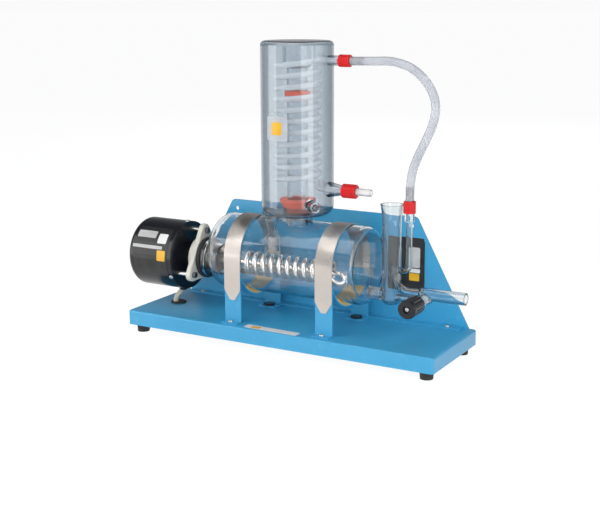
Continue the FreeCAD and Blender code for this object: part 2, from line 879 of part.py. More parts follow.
def make_boiler_glass():
    """The boiler body, its low heater neck, the neck for the condenser and two small necks."""
    axis, low_axis = Vector(0, 0, boiler_z), Vector(0, 0, heater_z)

    def body(inset):
        return vessel(boiler_radius, boiler_left, boiler_right, boiler_left_round, boiler_right_round,
                      inset, axis, along_x)

    inside = boiler_left + boiler_left_round
    edge = neck_flange_thickness / 4
    neck = rod(neck_radius, Vector(neck_end, 0, heater_z), Vector(inside, 0, heater_z))
    flange = turned([(0, neck_end), (neck_flange_radius, neck_end),
                     (neck_flange_radius, neck_end + neck_flange_thickness),
                     (0, neck_end + neck_flange_thickness)],
                    [0, edge, edge, 0], low_axis, along_x)
    middle = boiler_z + boiler_radius / 2
    top_mid, top_rim = Vector(condenser_x, 0, middle), Vector(condenser_x, 0, neck_rim_z)
    drip_mid, drip_rim = Vector(drip_x, 0, middle), Vector(drip_x, 0, drip_rim_z)
    feed_mid = Vector(boiler_right - boiler_right_round, 0, feed_z)
    feed_end = Vector(boiler_stub_x, 0, feed_z)
    outer = fused([body(0), neck, flange, rod(boiler_neck_radius, top_mid, top_rim),
                   rod(drip_neck_radius, drip_mid, drip_rim), rod(feed_radius, feed_mid, feed_end)])
    past = cut_overrun
    inner = fused([
        body(boiler_wall),
        rod(neck_radius - neck_wall, Vector(neck_end - past, 0, heater_z), Vector(inside, 0, heater_z)),
        rod(boiler_neck_radius - boiler_wall, top_mid, top_rim + along_z * past),
        rod(drip_neck_bore, drip_mid, drip_rim + along_z * past),
        rod(feed_radius - feed_wall, feed_mid, feed_end + along_x * past)])
    return outer.cut(inner)


def rod_bores(radius, start_x, end_x):
    """Two holes for the two ends of the heater rod, with an overrun past both faces."""
    a, b = start_x - cut_overrun, end_x + cut_overrun
    return [rod(radius, Vector(a, 0, z), Vector(b, 0, z)) for z in (lead_z, return_z)]


def make_neck_bung():
    """A rubber bung with a flange that seals the heater rod in the neck."""
    plug, edge = neck_radius - neck_wall - hole_gap, bung_edge_round
    face, end = neck_end - fit_gap, neck_end + bung_plug_length
    points = [(0, bung_face_x), (bung_radius, bung_face_x), (bung_radius, face),
              (plug, face), (plug - bung_plug_taper, end), (0, end)]
    bung = turned(points, [0, edge, edge, 0, edge, 0], Vector(0, 0, heater_z), along_x)
    return bung.cut(rod_bores(rod_radius, bung_face_x, end))


def lobed_plate(radius, start_x, thickness):
    """The rounded triangle of the clamp flange, as the hull of its three lobes."""
    axis = Vector(start_x, 0, heater_z)
    centres = []
    for angle in lobe_angles:
        a = math.radians(angle)
        centres.append(axis + Vector(0, math.cos(a), math.sin(a)) * lobe_circle_radius)
    sides = []
    for i, centre in enumerate(centres):
        following = centres[(i + 1) % lobe_count]
        outwards = (following - centre).normalize().cross(along_x)
        sides.append((centre + outwards * radius, following + outwards * radius))
    edges = []
    for i, (a, b) in enumerate(sides):
        following = centres[(i + 1) % lobe_count]
        apex = following + (following - axis).normalize() * radius
        edges.append(Part.makeLine(a, b))
        edges.append(Part.Arc(b, apex, sides[(i + 1) % lobe_count][0]).toShape())
    return Part.Face(Part.Wire(edges)).extrude(along_x * thickness)


def make_clamp_flange():
    """The cast flange: a three-lobed plate in front of a round hub."""
    plate = lobed_plate(lobe_radius, flange_left_x, flange_thickness)
    rims = [e for e in plate.Edges if min(abs(e.CenterOfMass.x - x)
                                          for x in (flange_left_x, bung_face_x)) < 1e-6]
    plate = plate.makeFillet(flange_edge_round, rims)
    root = flange_left_x + flange_thickness / 2
    hub = turned([(0, hub_left_x), (hub_radius, hub_left_x), (hub_radius, root), (0, root)],
                 [0, hub_round, 0, 0], Vector(0, 0, heater_z), along_x)
    hole = rod(bolt_radius + hole_gap, Vector(flange_left_x - cut_overrun, lobe_circle_radius, heater_z),
               Vector(bung_face_x + cut_overrun, lobe_circle_radius, heater_z))
    cuts = rod_bores(rod_radius + hole_gap, hub_left_x, bung_face_x)
    cuts += ring_of(hole, lobe_angles, Vector(0, 0, heater_z), along_x)
    return fused([plate, hub]).cut(cuts)


bolt_tip_x = disc_face_x - bolt_grip


def make_head_bolts():
    """Socket-head bolts through the lobes and spacers into the terminal disc."""
    y = lobe_circle_radius
    head, height = Vector(bung_face_x, y, heater_z), bolt_head_height
    cap = turned([(0, 0), (bolt_head_radius, 0), (bolt_head_radius, height), (0, height)],
                 [0, 0, bolt_edge_round, 0], head, along_x)
    bolt = fused([cap, rod(bolt_radius, Vector(bolt_tip_x, y, heater_z), head)])
    bolt = bolt.cut(rod(bolt_socket_radius, head + along_x * (height - bolt_socket_depth),
                        head + along_x * (height + cut_overrun)))
    return group(ring_of(bolt, lobe_angles, Vector(0, 0, heater_z), along_x))


def make_spacers():
    y = lobe_circle_radius
    spacer = tube(spacer_radius, bolt_radius, Vector(disc_face_x, y, heater_z),
                  Vector(flange_left_x, y, heater_z))
    return group(ring_of(spacer, lobe_angles, Vector(0, 0, heater_z), along_x))


def cover_screw_holes(radius, depth):
    """Radial holes for the cover screws, at the lobes' angles."""
    x = disc_face_x - cover_screw_inset
    hole = rod(radius, Vector(x, cover_radius - depth, heater_z),
               Vector(x, cover_radius + cut_overrun, heater_z))
    return ring_of(hole, lobe_angles, Vector(0, 0, heater_z), along_x)


def make_terminal_disc():
    """The disc that closes the cover, with a boss up to the hub."""
    axis, edge, y = Vector(0, 0, heater_z), disc_edge_round, lobe_circle_radius
    root = disc_face_x - disc_thickness / 2
    disc = turned([(0, disc_back_x), (disc_radius, disc_back_x), (disc_radius, disc_face_x),
                   (0, disc_face_x)],
                  [0, edge, edge, 0], axis, along_x)
    boss = rod(boss_radius, Vector(root, 0, heater_z), Vector(hub_left_x, 0, heater_z))
    bolt_hole = rod(bolt_radius, Vector(bolt_tip_x, y, heater_z),
                    Vector(disc_face_x + cut_overrun, y, heater_z))
    cuts = ring_of(bolt_hole, lobe_angles, axis, along_x)
    cuts += cover_screw_holes(cover_screw_radius, cover_screw_length)
    cuts += rod_bores(rod_radius + hole_gap, disc_back_x, hub_left_x)
    return fused([disc, boss]).cut(cuts)


def make_heater_cover():
    """The black cup over the heater's terminals."""
    r, wall, axis = cover_radius, cover_wall, Vector(0, 0, heater_z)
    open_end = disc_face_x + cut_overrun
    cup = turned([(0, cover_end_x), (r, cover_end_x), (r, disc_face_x), (0, disc_face_x)],
                 [0, cover_end_round, cover_rim_round, 0], axis, along_x)
    hollow = turned([(0, cover_end_x + wall), (r - wall, cover_end_x + wall), (r - wall, open_end),
                     (0, open_end)],
                    [0, cover_end_round - wall, 0, 0], axis, along_x)
    cuts = [hollow] + cover_screw_holes(cover_screw_radius, cover_wall + cut_overrun)
    cuts.append(rod(gland_neck_radius, Vector(gland_x, 0, heater_z - r - cut_overrun),
                    Vector(gland_x, 0, heater_z - r + wall * 2)))
    return cup.cut(cuts)


def make_cover_screws():
    x = disc_face_x - cover_screw_inset
    screw = pan_screw(cover_screw_radius, cover_screw_head_radius, cover_screw_head_height,
                      cover_screw_length, Vector(x, cover_radius, heater_z), along_y)
    return group(ring_of(screw, lobe_angles, Vector(0, 0, heater_z), along_x))


def make_terminal_block():
    """The ceramic block behind the disc that carries the terminals."""
    z, half = heater_z + coil_radius / 2, terminal_block_height / 2
    low = Vector(block_end_x, -terminal_block_width / 2, z - half)
    ceramic = block(low, Vector(disc_back_x, terminal_block_width / 2, z + half))
    ceramic = ceramic.makeFillet(terminal_block_round,
                                 [e for e in ceramic.Edges if abs(e.tangentAt(e.FirstParameter).x) > 0.9])
    return ceramic.cut(rod_bores(rod_radius + hole_gap, block_end_x, disc_back_x))


def make_terminal_studs():
    """Brass terminals on the ceramic block."""
    z, studs = heater_z + coil_radius / 2, []
    for side in (-1, 1):
        foot = Vector(block_end_x, side * terminal_block_width / 3, z)
        stud = rod(terminal_stud_radius, foot - along_x * terminal_stud_length, foot)
        washer = rod(terminal_washer_radius, foot - along_x * (terminal_stud_length / 3), foot)
        studs.append(fused([stud, washer]))
    return group(studs)


def make_thermal_cutout():
    """The disc thermostat on the terminal disc that stops the heater if it runs dry."""
    centre = Vector(disc_back_x, 0, heater_z - cutout_drop)
    back = centre - along_x * cutout_height
    pieces = [rod(cutout_radius, back, centre)]
    for side in (-1, 1):
        y, half, z = side * cutout_blade_spacing / 2, cutout_blade_width / 2, cutout_blade_sheet / 2
        pieces.append(block(back + Vector(-cutout_blade_length, y - half, -z),
                            back + Vector(cutout_blade_sheet, y + half, z)))
    return fused(pieces)


def heater_stations():
    """The rod's course: in through the bung, round the coil, and back through its middle."""
    def place(x, angle, radius=coil_radius):
        a = math.radians(angle)
        return Vector(x, radius * math.cos(a), heater_z + radius * math.sin(a))

    def heading(angle, forwards):
        a, b = math.radians(angle), math.radians(forwards)
        return Vector(math.sin(b), -math.sin(a) * math.cos(b), math.cos(a) * math.cos(b))

    lean = math.degrees(math.atan(coil_pitch / (2 * math.pi * coil_radius)))
    top = 90
    first = top + coil_start_swing
    tail = block_end_x - rod_radius
    stations = [(place(tail, top), along_x), (place(coil_left - coil_lead_length, top), along_x)]
    for i in range(coil_turns * 4 + 1):
        stations.append((place(coil_left + coil_pitch * i / 4, first + 90 * i),
                         heading(first + 90 * i, lean)))
    last_x, last = coil_left + coil_pitch * coil_turns, first + 360 * coil_turns
    hook = last + coil_hook_swing
    stations.append((place(last_x + coil_hook_length / 2, hook), heading(hook, lean * 4)))
    stations.append((Vector(last_x + coil_hook_length, 0, return_z - coil_hook_radius), along_z))
    stations.append((Vector(last_x + coil_hook_length - coil_hook_radius, 0, return_z), Vector(-1, 0, 0)))
    stations.append((Vector(tail, 0, return_z), Vector(-1, 0, 0)))
    return stations


def make_heater_coil():
    stations = heater_stations()
    edges = path_through(stations)
    coil = swept(edges, rod_radius, stations[0][0], stations[0][1])
    report_tube("heater_coil", edges, coil, rod_radius, coil_radius * 2)
    return coil


def make_rod_glands():
    """Compression nuts on the rod's two ends, just inside the bung."""
    start = neck_end + bung_plug_length
    return group(hex_nut(rod_gland_radius, rod_gland_length, rod_radius, Vector(start, 0, z), along_x)
                 for z in (lead_z, return_z))


cable_x, cable_y = grommet_x + cable_offset_x, grommet_y + cable_offset_y
cable_end_z = base_top - tray_sheet - strip_drop


def cable_route():
    """From inside the cover, down through the gland and the grommet, to the strip in the tray."""
    return [Vector(gland_x, 0, base_top + cable_top_level),
            Vector(gland_x, 0, base_top + cable_gland_level),
            Vector(cable_x, cable_y, base_top + cable_foot_level),
            Vector(cable_x, cable_y, cable_end_z)]


def make_heater_cable():
    points = cable_route()
    edges, radii = cord_path(points)
    cable = swept(edges, cable_radius, points[0], (points[1] - points[0]).normalize())
    length = sum(e.Length for e in edges)
    print(f"heater_cable: length {length:.1f}, radii {radii}, volume over section times length"
          f" {cable.Volume / (math.pi * cable_radius ** 2 * length):.4f}")
    return cable


def make_cover_gland(cable):
    """The collar that the heater's cable leaves the cover through."""
    floor = heater_z - cover_radius
    low = Vector(gland_x, 0, floor - gland_height)
    collar = cone(gland_radius * 0.8, gland_radius, low, Vector(gland_x, 0, floor + cover_wall / 2))
    collar = collar.cut(rod(cover_radius, Vector(cover_end_x, 0, heater_z), Vector(disc_face_x, 0, heater_z)))
    neck = rod(gland_neck_radius, low, Vector(gland_x, 0, floor + cover_wall + gland_neck_rise))
    return fused([collar, neck]).cut(cable)


def make_cable_grommet(cable):
    """The rubber grommet where the cable goes down into the tray."""
    foot, lip = Vector(grommet_x, grommet_y, base_top), grommet_lip_height
    top = turned([(0, 0), (grommet_radius, 0), (grommet_radius, lip), (0, lip)], [0, 0, lip * 0.6, 0],
                 foot, along_z)
    waist = rod(grommet_waist_radius, foot - along_z * tray_sheet, foot)
    under = rod(grommet_radius, foot - along_z * (tray_sheet + lip), foot - along_z * tray_sheet)
    return fused([top, waist, under]).cut(cable)


def make_terminal_strip():
    """The strip under the tray top that joins the heater's cable to the supply."""
    half, foot = strip_length / 2, strip_foot_length
    y_low, y_high = grommet_y - strip_width / 2, grommet_y + strip_width / 2
    top, under = base_top - tray_sheet, cable_end_z
    pieces = [block(Vector(grommet_x - half, y_low, under - strip_height),
                    Vector(grommet_x + half, y_high, under))]
    for x in (grommet_x - half, grommet_x + half - foot):
        pieces.append(block(Vector(x, y_low, under), Vector(x + foot, y_high, top)))
    return fused(pieces)


def make_mains_gland():
    """The inlet gland for the supply cable, low in the tray's left wall."""
    z, wall = foot_height + tray_height / 2, -base_length / 2
    outer, inner = wall - mains_gland_length, wall + tray_sheet
    y = mains_gland_y
    nose = cone(mains_gland_radius * 0.7, mains_gland_radius, Vector(outer, y, z), Vector(wall, y, z))
    neck = rod(mains_gland_neck_radius, Vector(wall, y, z), Vector(inner + mains_gland_nut, y, z))
    nut = rod(mains_gland_radius, Vector(inner, y, z), Vector(inner + mains_gland_nut, y, z))
    past = cut_overrun
    hole = rod(mains_gland_bore, Vector(outer - past, y, z), Vector(inner + mains_gland_nut + past, y, z))
    return fused([nose, neck, nut]).cut(hole)


def make_condenser_jacket():
    """The outer glass of the condenser with its collar, two side ports and the distillate outlet."""
    axis, past = Vector(condenser_x, 0, base_top), cut_overrun

    def body(inset):
        return vessel(jacket_radius, jacket_bottom_level, jacket_top_level, jacket_bottom_round,
                      jacket_top_round, inset, axis, along_z)

    collar_low = Vector(condenser_x, 0, neck_rim_z + joint_seal_height)
    collar_high = Vector(condenser_x, 0, base_top + collar_top_level)
    collar = rod(collar_radius, collar_low, collar_high)
    collar_hole = rod(collar_radius - collar_wall, collar_low - along_z * past, collar_high + along_z * past)
    wall_x = condenser_x + jacket_radius - jacket_wall
    cone_end = condenser_x + jacket_radius + port_cone_length
    upper_end = upper_cap_x + small_cap_length - cap_stack
    lower_end = lower_cap_x + large_cap_length - cap_stack
    upper_axis = Vector(0, 0, base_top + upper_port_level)
    lower_axis = Vector(0, 0, base_top + lower_port_level)
    ports = [turned([(0, wall_x), (port_radius, wall_x), (port_radius, upper_end), (0, upper_end)],
                    [0, 0, 0, 0], upper_axis, along_x),
             turned([(0, wall_x), (port_cone_radius, wall_x), (port_radius, cone_end),
                     (port_radius, lower_end),
                     (0, lower_end)], [0, 0, 0, 0, 0], lower_axis, along_x)]
    start = wall_x - past
    port_holes = [turned([(0, start), (port_bore, start), (port_bore, upper_end + past),
                          (0, upper_end + past)],
                         [0, 0, 0, 0], upper_axis, along_x),
                  turned([(0, start), (port_cone_bore, start), (port_bore, cone_end),
                          (port_bore, lower_end + past),
                          (0, lower_end + past)], [0, 0, 0, 0, 0], lower_axis, along_x)]
    a = math.radians(outlet_angle)
    out = Vector(math.sin(a), -math.cos(a), 0)
    centre = Vector(condenser_x, 0, base_top + outlet_level)
    outlet_in = centre + out * (jacket_radius - jacket_wall)
    outlet_out = centre + out * (jacket_radius + outlet_reach)
    outlet_root = outlet_out - out * outlet_spigot_length
    outlet = fused([cone(outlet_root_radius, outlet_radius, outlet_in, outlet_root),
                    rod(outlet_radius, outlet_root, outlet_out)])
    outlet_hole = rod(outlet_bore, outlet_in - out * past, outlet_out + out * past)
    shell = fused([body(0), collar] + ports + [outlet])
    hollow = body(jacket_wall).cut(collar)
    return shell.cut(fused([hollow, collar_hole] + port_holes + [outlet_hole]))


def make_joint_seal():
    """The clear gasket between the boiler's neck and the condenser's."""
    low = Vector(condenser_x, 0, neck_rim_z)
    return tube(boiler_neck_radius, collar_radius - collar_wall, low, low + along_z * joint_seal_height)


def make_steam_riser():
    """The glass tube that carries the steam up to an open bulb above the coil."""
    def solid(inset, past):
        r, bulb = riser_radius - inset, riser_bulb_radius - inset
        foot, waist, top = riser_foot_level - past, riser_bulb_level + inset, riser_top_level + past
        points = [(0, foot), (r, foot), (r, waist), (bulb, waist), (bulb, top), (0, top)]
        rounds = [0, 0, 0, riser_bulb_round - inset, 0, 0]
        return turned(points, rounds, Vector(condenser_x, 0, base_top), along_z)

    return solid(0, 0).cut(solid(riser_wall, cut_overrun))


def make_riser_bung():
    """The tapered silicone bung that seals the riser in the collar."""
    inner, edge, wide = riser_radius, riser_bung_round, riser_bung_top_radius
    plug, foot = collar_radius - collar_wall - hole_gap, collar_top_level - riser_bung_plug_length
    points = [(inner, foot), (plug, foot), (plug, collar_top_level), (collar_radius, collar_top_level),
              (wide, riser_bung_top_level - riser_bung_rim), (wide, riser_bung_top_level),
              (inner, riser_bung_top_level)]
    return turned(points, [0, edge, 0, 0, edge, edge, 0], Vector(condenser_x, 0, base_top), along_z)


def make_riser_band():
    """The silicone band high on the riser."""
    r, edge = riser_radius + band_thickness, band_thickness / 2
    points = [(riser_radius, band_level), (r, band_level), (r, band_level + band_height),
              (riser_radius, band_level + band_height)]
    return turned(points, [0, edge, edge, 0], Vector(condenser_x, 0, base_top), along_z)


def make_drip_tube():
    """The glass tube that returns drips from under the condenser to the boiler's water."""
    def solid(inset, past):
        r, bell, mouth = drip_radius - inset, drip_bell_radius - inset, drip_funnel_radius - inset
        points = [(0, drip_bell_bottom_level - past), (bell, drip_bell_bottom_level - past),
                  (bell, drip_bell_top_level - drip_bell_rise), (r, drip_bell_top_level),
                  (r, drip_throat_level), (mouth, drip_top_level), (mouth, drip_top_level + past),
                  (0, drip_top_level + past)]
        rounds = [0, 0, drip_bell_round, drip_throat_round, 0, 0, 0]
        if past:
            rounds.append(0)
        else:
            points.pop(5)
        return turned(points, rounds, Vector(drip_x, 0, base_top), along_z)

    return solid(0, 0).cut(solid(drip_wall, cut_overrun))


def glass_coil_stations():
    """The coil's course: in by the lower port, round the riser, and out by the upper port."""
    low_z, high_z = base_top + lower_port_level, base_top + upper_port_level
    rise = glass_coil_pitch * (1 - glass_coil_entry_angle / 360) / 2
    foot = Vector(condenser_x, 0, base_top + glass_coil_bottom_level + rise)
    spiral = helix_stations(glass_coil_radius, glass_coil_pitch, glass_coil_turns, glass_coil_entry_angle, 4)
    spiral = [(point + foot, tangent) for point, tangent in spiral]
    lead = condenser_x + glass_coil_lead
    start = [(Vector(lower_cap_x + large_cap_length - cap_stack, 0, low_z), Vector(-1, 0, 0)),
             (Vector(lead, 0, low_z), Vector(-1, 0, 0))]
    swing = math.radians(glass_coil_entry_angle + 230)
    shoulder = Vector(condenser_x + glass_coil_radius * math.cos(swing), glass_coil_radius * math.sin(swing),
                      spiral[-1][0].z * 0.3 + high_z * 0.7)
    lean = Vector(-math.sin(swing), math.cos(swing), 0.1).normalize()
    finish = [(shoulder, lean), (Vector(lead, 0, high_z), along_x),
              (Vector(upper_cap_x + small_cap_length - cap_stack, 0, high_z), along_x)]
    return start + spiral + finish


def make_condenser_coil():
    stations = glass_coil_stations()
    edges = path_through(stations)
    coil = swept(edges, glass_coil_tube, stations[0][0], stations[0][1])
    report_tube("condenser_coil", edges, coil, glass_coil_tube, glass_coil_radius * 2)
    return coil


origin = Vector(0, 0, 0)


def make_cap(radius, length, mouth, direction):
    """A fluted screw cap whose closed end has a hole for the connector; mouth is its open end."""
    body = turned([(0, 0), (radius, 0), (radius, length), (0, length)],
                  [0, cap_edge_round, radius * 0.18, 0], origin, along_z)
    hollow = Part.makeCylinder(port_radius + fit_gap, length - cap_end_wall)
    hole = Part.makeCylinder(connector_stem_radius + fit_gap, length + cut_overrun)
    flute = Part.makeCylinder(cap_flute_radius, length * cap_flute_share,
                              Vector(radius + cap_flute_radius - cap_flute_depth, 0,
                                     length * cap_collar_share))
    flutes = ring_of(flute, [360 / cap_flutes * i for i in range(cap_flutes)], origin, along_z)
    return placed(body.cut([hollow, hole] + flutes), mouth, direction)


def make_connector(cap_length, radius, bore, reach, mouth, direction):
    """A hose connector: a disc under the cap's end wall, a stem and a nozzle."""
    disc_low = cap_length - cap_end_wall - fit_gap - connector_disc_thickness
    stem_top = cap_length + fit_gap
    end = stem_top + reach
    pieces = [Part.makeCylinder(port_radius - hole_gap, connector_disc_thickness, Vector(0, 0, disc_low)),
              Part.makeCylinder(connector_stem_radius, stem_top - disc_low, Vector(0, 0, disc_low)),
              Part.makeCylinder(radius, reach, Vector(0, 0, stem_top))]
    hole = Part.makeCylinder(bore, end - disc_low + cut_overrun * 2, Vector(0, 0, disc_low - cut_overrun))
    return placed(fused(pieces).cut(hole), mouth, direction)


def make_seal(cap_length, mouth, direction):
    """The ring between a glass port's end and its connector."""
    ring = Part.makeCylinder(port_radius - hole_gap, seal_thickness, Vector(0, 0, cap_length - cap_stack))
    return placed(ring.cut(Part.makeCylinder(barb_bore, cap_length)), mouth, direction)


upper_mouth = Vector(upper_cap_x, 0, base_top + upper_port_level)
lower_mouth = Vector(lower_cap_x, 0, base_top + lower_port_level)
level_mouth = Vector(inlet_x, 0, base_top + level_cap_level)
inlet_top_level = level_cap_level + small_cap_length - cap_stack


def hose_route():
    """The cooling hose: out of the upper connector, over in a bow and down to the level device."""
    seat = small_cap_length + fit_gap * 2
    bow = [upper_mouth + Vector(x, 0, z) for x, z in hose_bow]
    return [upper_mouth + along_x * seat] + bow + [level_mouth + along_z * seat]


def make_cooling_hose():
    points = hose_route()
    edges, radii = cord_path(points)
    direction = (points[1] - points[0]).normalize()
    hose = swept(edges, hose_radius, points[0], direction).cut(swept(edges, hose_bore, points[0], direction))
    length = sum(e.Length for e in edges)
    section = math.pi * (hose_radius ** 2 - hose_bore ** 2)
    print(f"cooling_hose: length {length:.1f}, radii {radii}, volume over section times length"
          f" {hose.Volume / (section * length):.4f}")
    return hose


def make_level_glass():
    """The level device: open chamber, inlet tube, standing overflow, waste tube and tap barrel."""
    past, down, right = cut_overrun, Vector(0, 0, -1), along_x
    waste_z, join_z = base_top + waste_level, base_top + inlet_join_level

    def chamber(inset, over):
        r, top = chamber_radius - inset, chamber_mouth_level + over
        points = [(0, chamber_bottom_level + inset), (r, chamber_bottom_level + inset),
                  (r, chamber_flare_level), (mouth_radius - inset, top), (0, top)]
        rounds = [0, chamber_bottom_round - inset, chamber_flare_round, 0, 0]
        return turned(points, rounds, Vector(level_x, 0, base_top), along_z)

    def inlet(radius, over):
        """Down beside the chamber, then a bend into its wall."""
        bend = inlet_bend_radius
        top, knee = Vector(inlet_x, 0, base_top + inlet_top_level + over), Vector(inlet_x, 0, join_z + bend)
        centre, wall = Vector(inlet_x - bend, 0, join_z + bend), Vector(inlet_x - bend, 0, join_z)
        reach = Vector(level_x + chamber_radius - chamber_wall - over / 4, 0, join_z)
        return [rod(radius, knee, top), elbow(radius, knee, down, centre, along_y, 90),
                rod(radius, reach, wall)]

    def standpipe(radius, over):
        """Up inside the chamber from a bend that leaves through its wall."""
        x, bend = level_x + standpipe_offset, standpipe_bend_radius
        top, knee = Vector(x, 0, base_top + standpipe_top_level + over), Vector(x, 0, waste_z + bend)
        centre, foot = Vector(x + bend, 0, waste_z + bend), Vector(x + bend, 0, waste_z)
        far = Vector(waste_start_x + waste_shoulder_round, 0, waste_z)
        return [rod(radius, knee, top), elbow(radius, knee, down, centre, Vector(0, -1, 0), 90),
                rod(radius, foot, far)]

    def waste(inset, over):
        r, drawn = waste_radius - inset, waste_end_radius - inset
        start, step, end = waste_start_x + inset, waste_end_x - waste_end_length, waste_end_x + over
        return turned([(0, start), (r, start), (r, step), (drawn, step), (drawn, end), (0, end)],
                      [0, waste_shoulder_round - inset, 0, 0, 0, 0], Vector(0, 0, waste_z), right)

    mouth = Vector(tap_x, barrel_mouth_y, tap_z)
    seat, back = Vector(tap_x, barrel_seat_y, tap_z), Vector(tap_x, barrel_end_y, tap_z)
    arm_start = Vector(level_x, drain_arm_start_y, base_top + drain_arm_start_level)
    arm_end = Vector(tap_x, drain_arm_end_y, tap_z)
    stub, inside = Vector(level_stub_x, 0, feed_z), Vector(level_x, 0, feed_z)
    thread_top = Vector(inlet_x, 0, base_top + inlet_top_level)
    pipe, arm_bore = fused(standpipe(standpipe_radius, 0)), drain_arm_radius - drain_arm_wall
    outer = fused([chamber(0, 0), pipe, waste(0, 0)] + inlet(inlet_radius, 0) + [
        rod(port_radius, thread_top - along_z * inlet_thread_length, thread_top),
        rod(barrel_radius, mouth, back),
        rod(barrel_rim_radius, mouth, mouth + along_y * barrel_rim_length),
        rod(drain_arm_radius, arm_start, arm_end),
        rod(feed_radius, stub, inside)])
    inner = fused([chamber(chamber_wall, past), rod(arm_bore, arm_start, arm_end),
                   rod(feed_radius - feed_wall, stub - right * past, inside)]
                  + inlet(inlet_radius - inlet_wall, past)).cut(pipe)
    cuts = [inner, fused(standpipe(standpipe_radius - standpipe_wall, past) + [waste(waste_wall, past)]),
            rod(barrel_bore, mouth - along_y * past, seat),
            rod(arm_bore, (arm_start + arm_end) * 0.5, arm_end),
            rod(seat_bore, seat, Vector(tap_x, 0, tap_z))]
    return outer.cut(cuts)


def make_level_sleeve():
    """The silicone sleeve that joins the boiler's feed stub to the level device."""
    start = boiler_stub_x - sleeve_inset + hole_gap
    length = level_stub_x - boiler_stub_x + sleeve_inset * 2 - fit_gap
    points = [(feed_radius, 0), (sleeve_radius, 0), (sleeve_radius, length), (feed_radius, length)]
    edge = (sleeve_radius - feed_radius) / 3
    return turned(points, [0, edge, edge, 0], Vector(start, 0, feed_z), along_x)


def on_tap(y):
    return Vector(tap_x, y, tap_z)


key_seat_y = barrel_seat_y - fit_gap
key_radius = barrel_bore - fit_gap
key_collar_y = barrel_mouth_y - fit_gap
stem_end_y = knob_start_y - key_stem_length
recess_floor_y = knob_start_y - knob_length + knob_recess_depth


def make_tap_key():
    """The white key that slides in the barrel: a blunt nose, a shank, a collar and a stem."""
    neck_y = key_seat_y - key_tip_length
    key = fused([rod(key_radius, on_tap(key_collar_y), on_tap(neck_y)),
                 cone(key_radius, key_tip_radius, on_tap(neck_y), on_tap(key_seat_y)),
                 rod(key_collar_radius, on_tap(key_collar_y - key_collar_length), on_tap(key_collar_y)),
                 rod(key_stem_radius, on_tap(stem_end_y), on_tap(key_collar_y))])
    half = key_groove_width / 2
    groove = tube(key_radius + cut_overrun, key_radius - key_groove_depth,
                  on_tap(key_groove_y - half), on_tap(key_groove_y + half))
    screw_hole = rod(knob_screw_radius + running_gap, on_tap(stem_end_y - cut_overrun),
                     on_tap(stem_end_y + knob_screw_grip + fit_gap))
    return key.cut([groove, screw_hole])


def make_tap_ring():
    """The ring seal in the key's groove."""
    ring = Part.makeTorus(key_radius - key_groove_depth + ring_thickness / 2, ring_thickness / 2)
    return placed(ring, on_tap(key_groove_y), along_y)


def make_tap_knob():
    """The fluted black knob with a recess in its front for the screw."""
    back, forwards = on_tap(knob_start_y), Vector(0, -1, 0)
    knob = turned([(0, 0), (knob_radius, 0), (knob_radius, knob_length), (0, knob_length)],
                  [0, knob_round, knob_round, 0], back, forwards)
    stem = rod(key_stem_radius + running_gap, back + along_y * cut_overrun,
               back + forwards * (key_stem_length + fit_gap))
    recess = rod(knob_recess_radius, on_tap(recess_floor_y),
                 on_tap(recess_floor_y - knob_recess_depth - cut_overrun))
    screw = rod(knob_screw_radius, back, on_tap(recess_floor_y))
    aside = along_x * (knob_radius + knob_flute_radius - knob_flute_depth)
    flute = rod(knob_flute_radius, back + aside + along_y * cut_overrun,
                back + aside + forwards * (knob_length - knob_round * 3))
    flutes = ring_of(flute, [360 / knob_flutes * i for i in range(knob_flutes)], back, along_y)
    return knob.cut([stem, recess, screw] + flutes)


def make_knob_screw():
    """The screw in the knob's recess, which holds it on the key."""
    length = stem_end_y + knob_screw_grip - recess_floor_y
    return pan_screw(knob_screw_radius, knob_screw_head_radius, knob_screw_head_height, length,
                     on_tap(recess_floor_y), Vector(0, -1, 0))


left_x, right_x = -saddle_half_spacing, saddle_half_spacing
heater_cable = make_heater_cable()

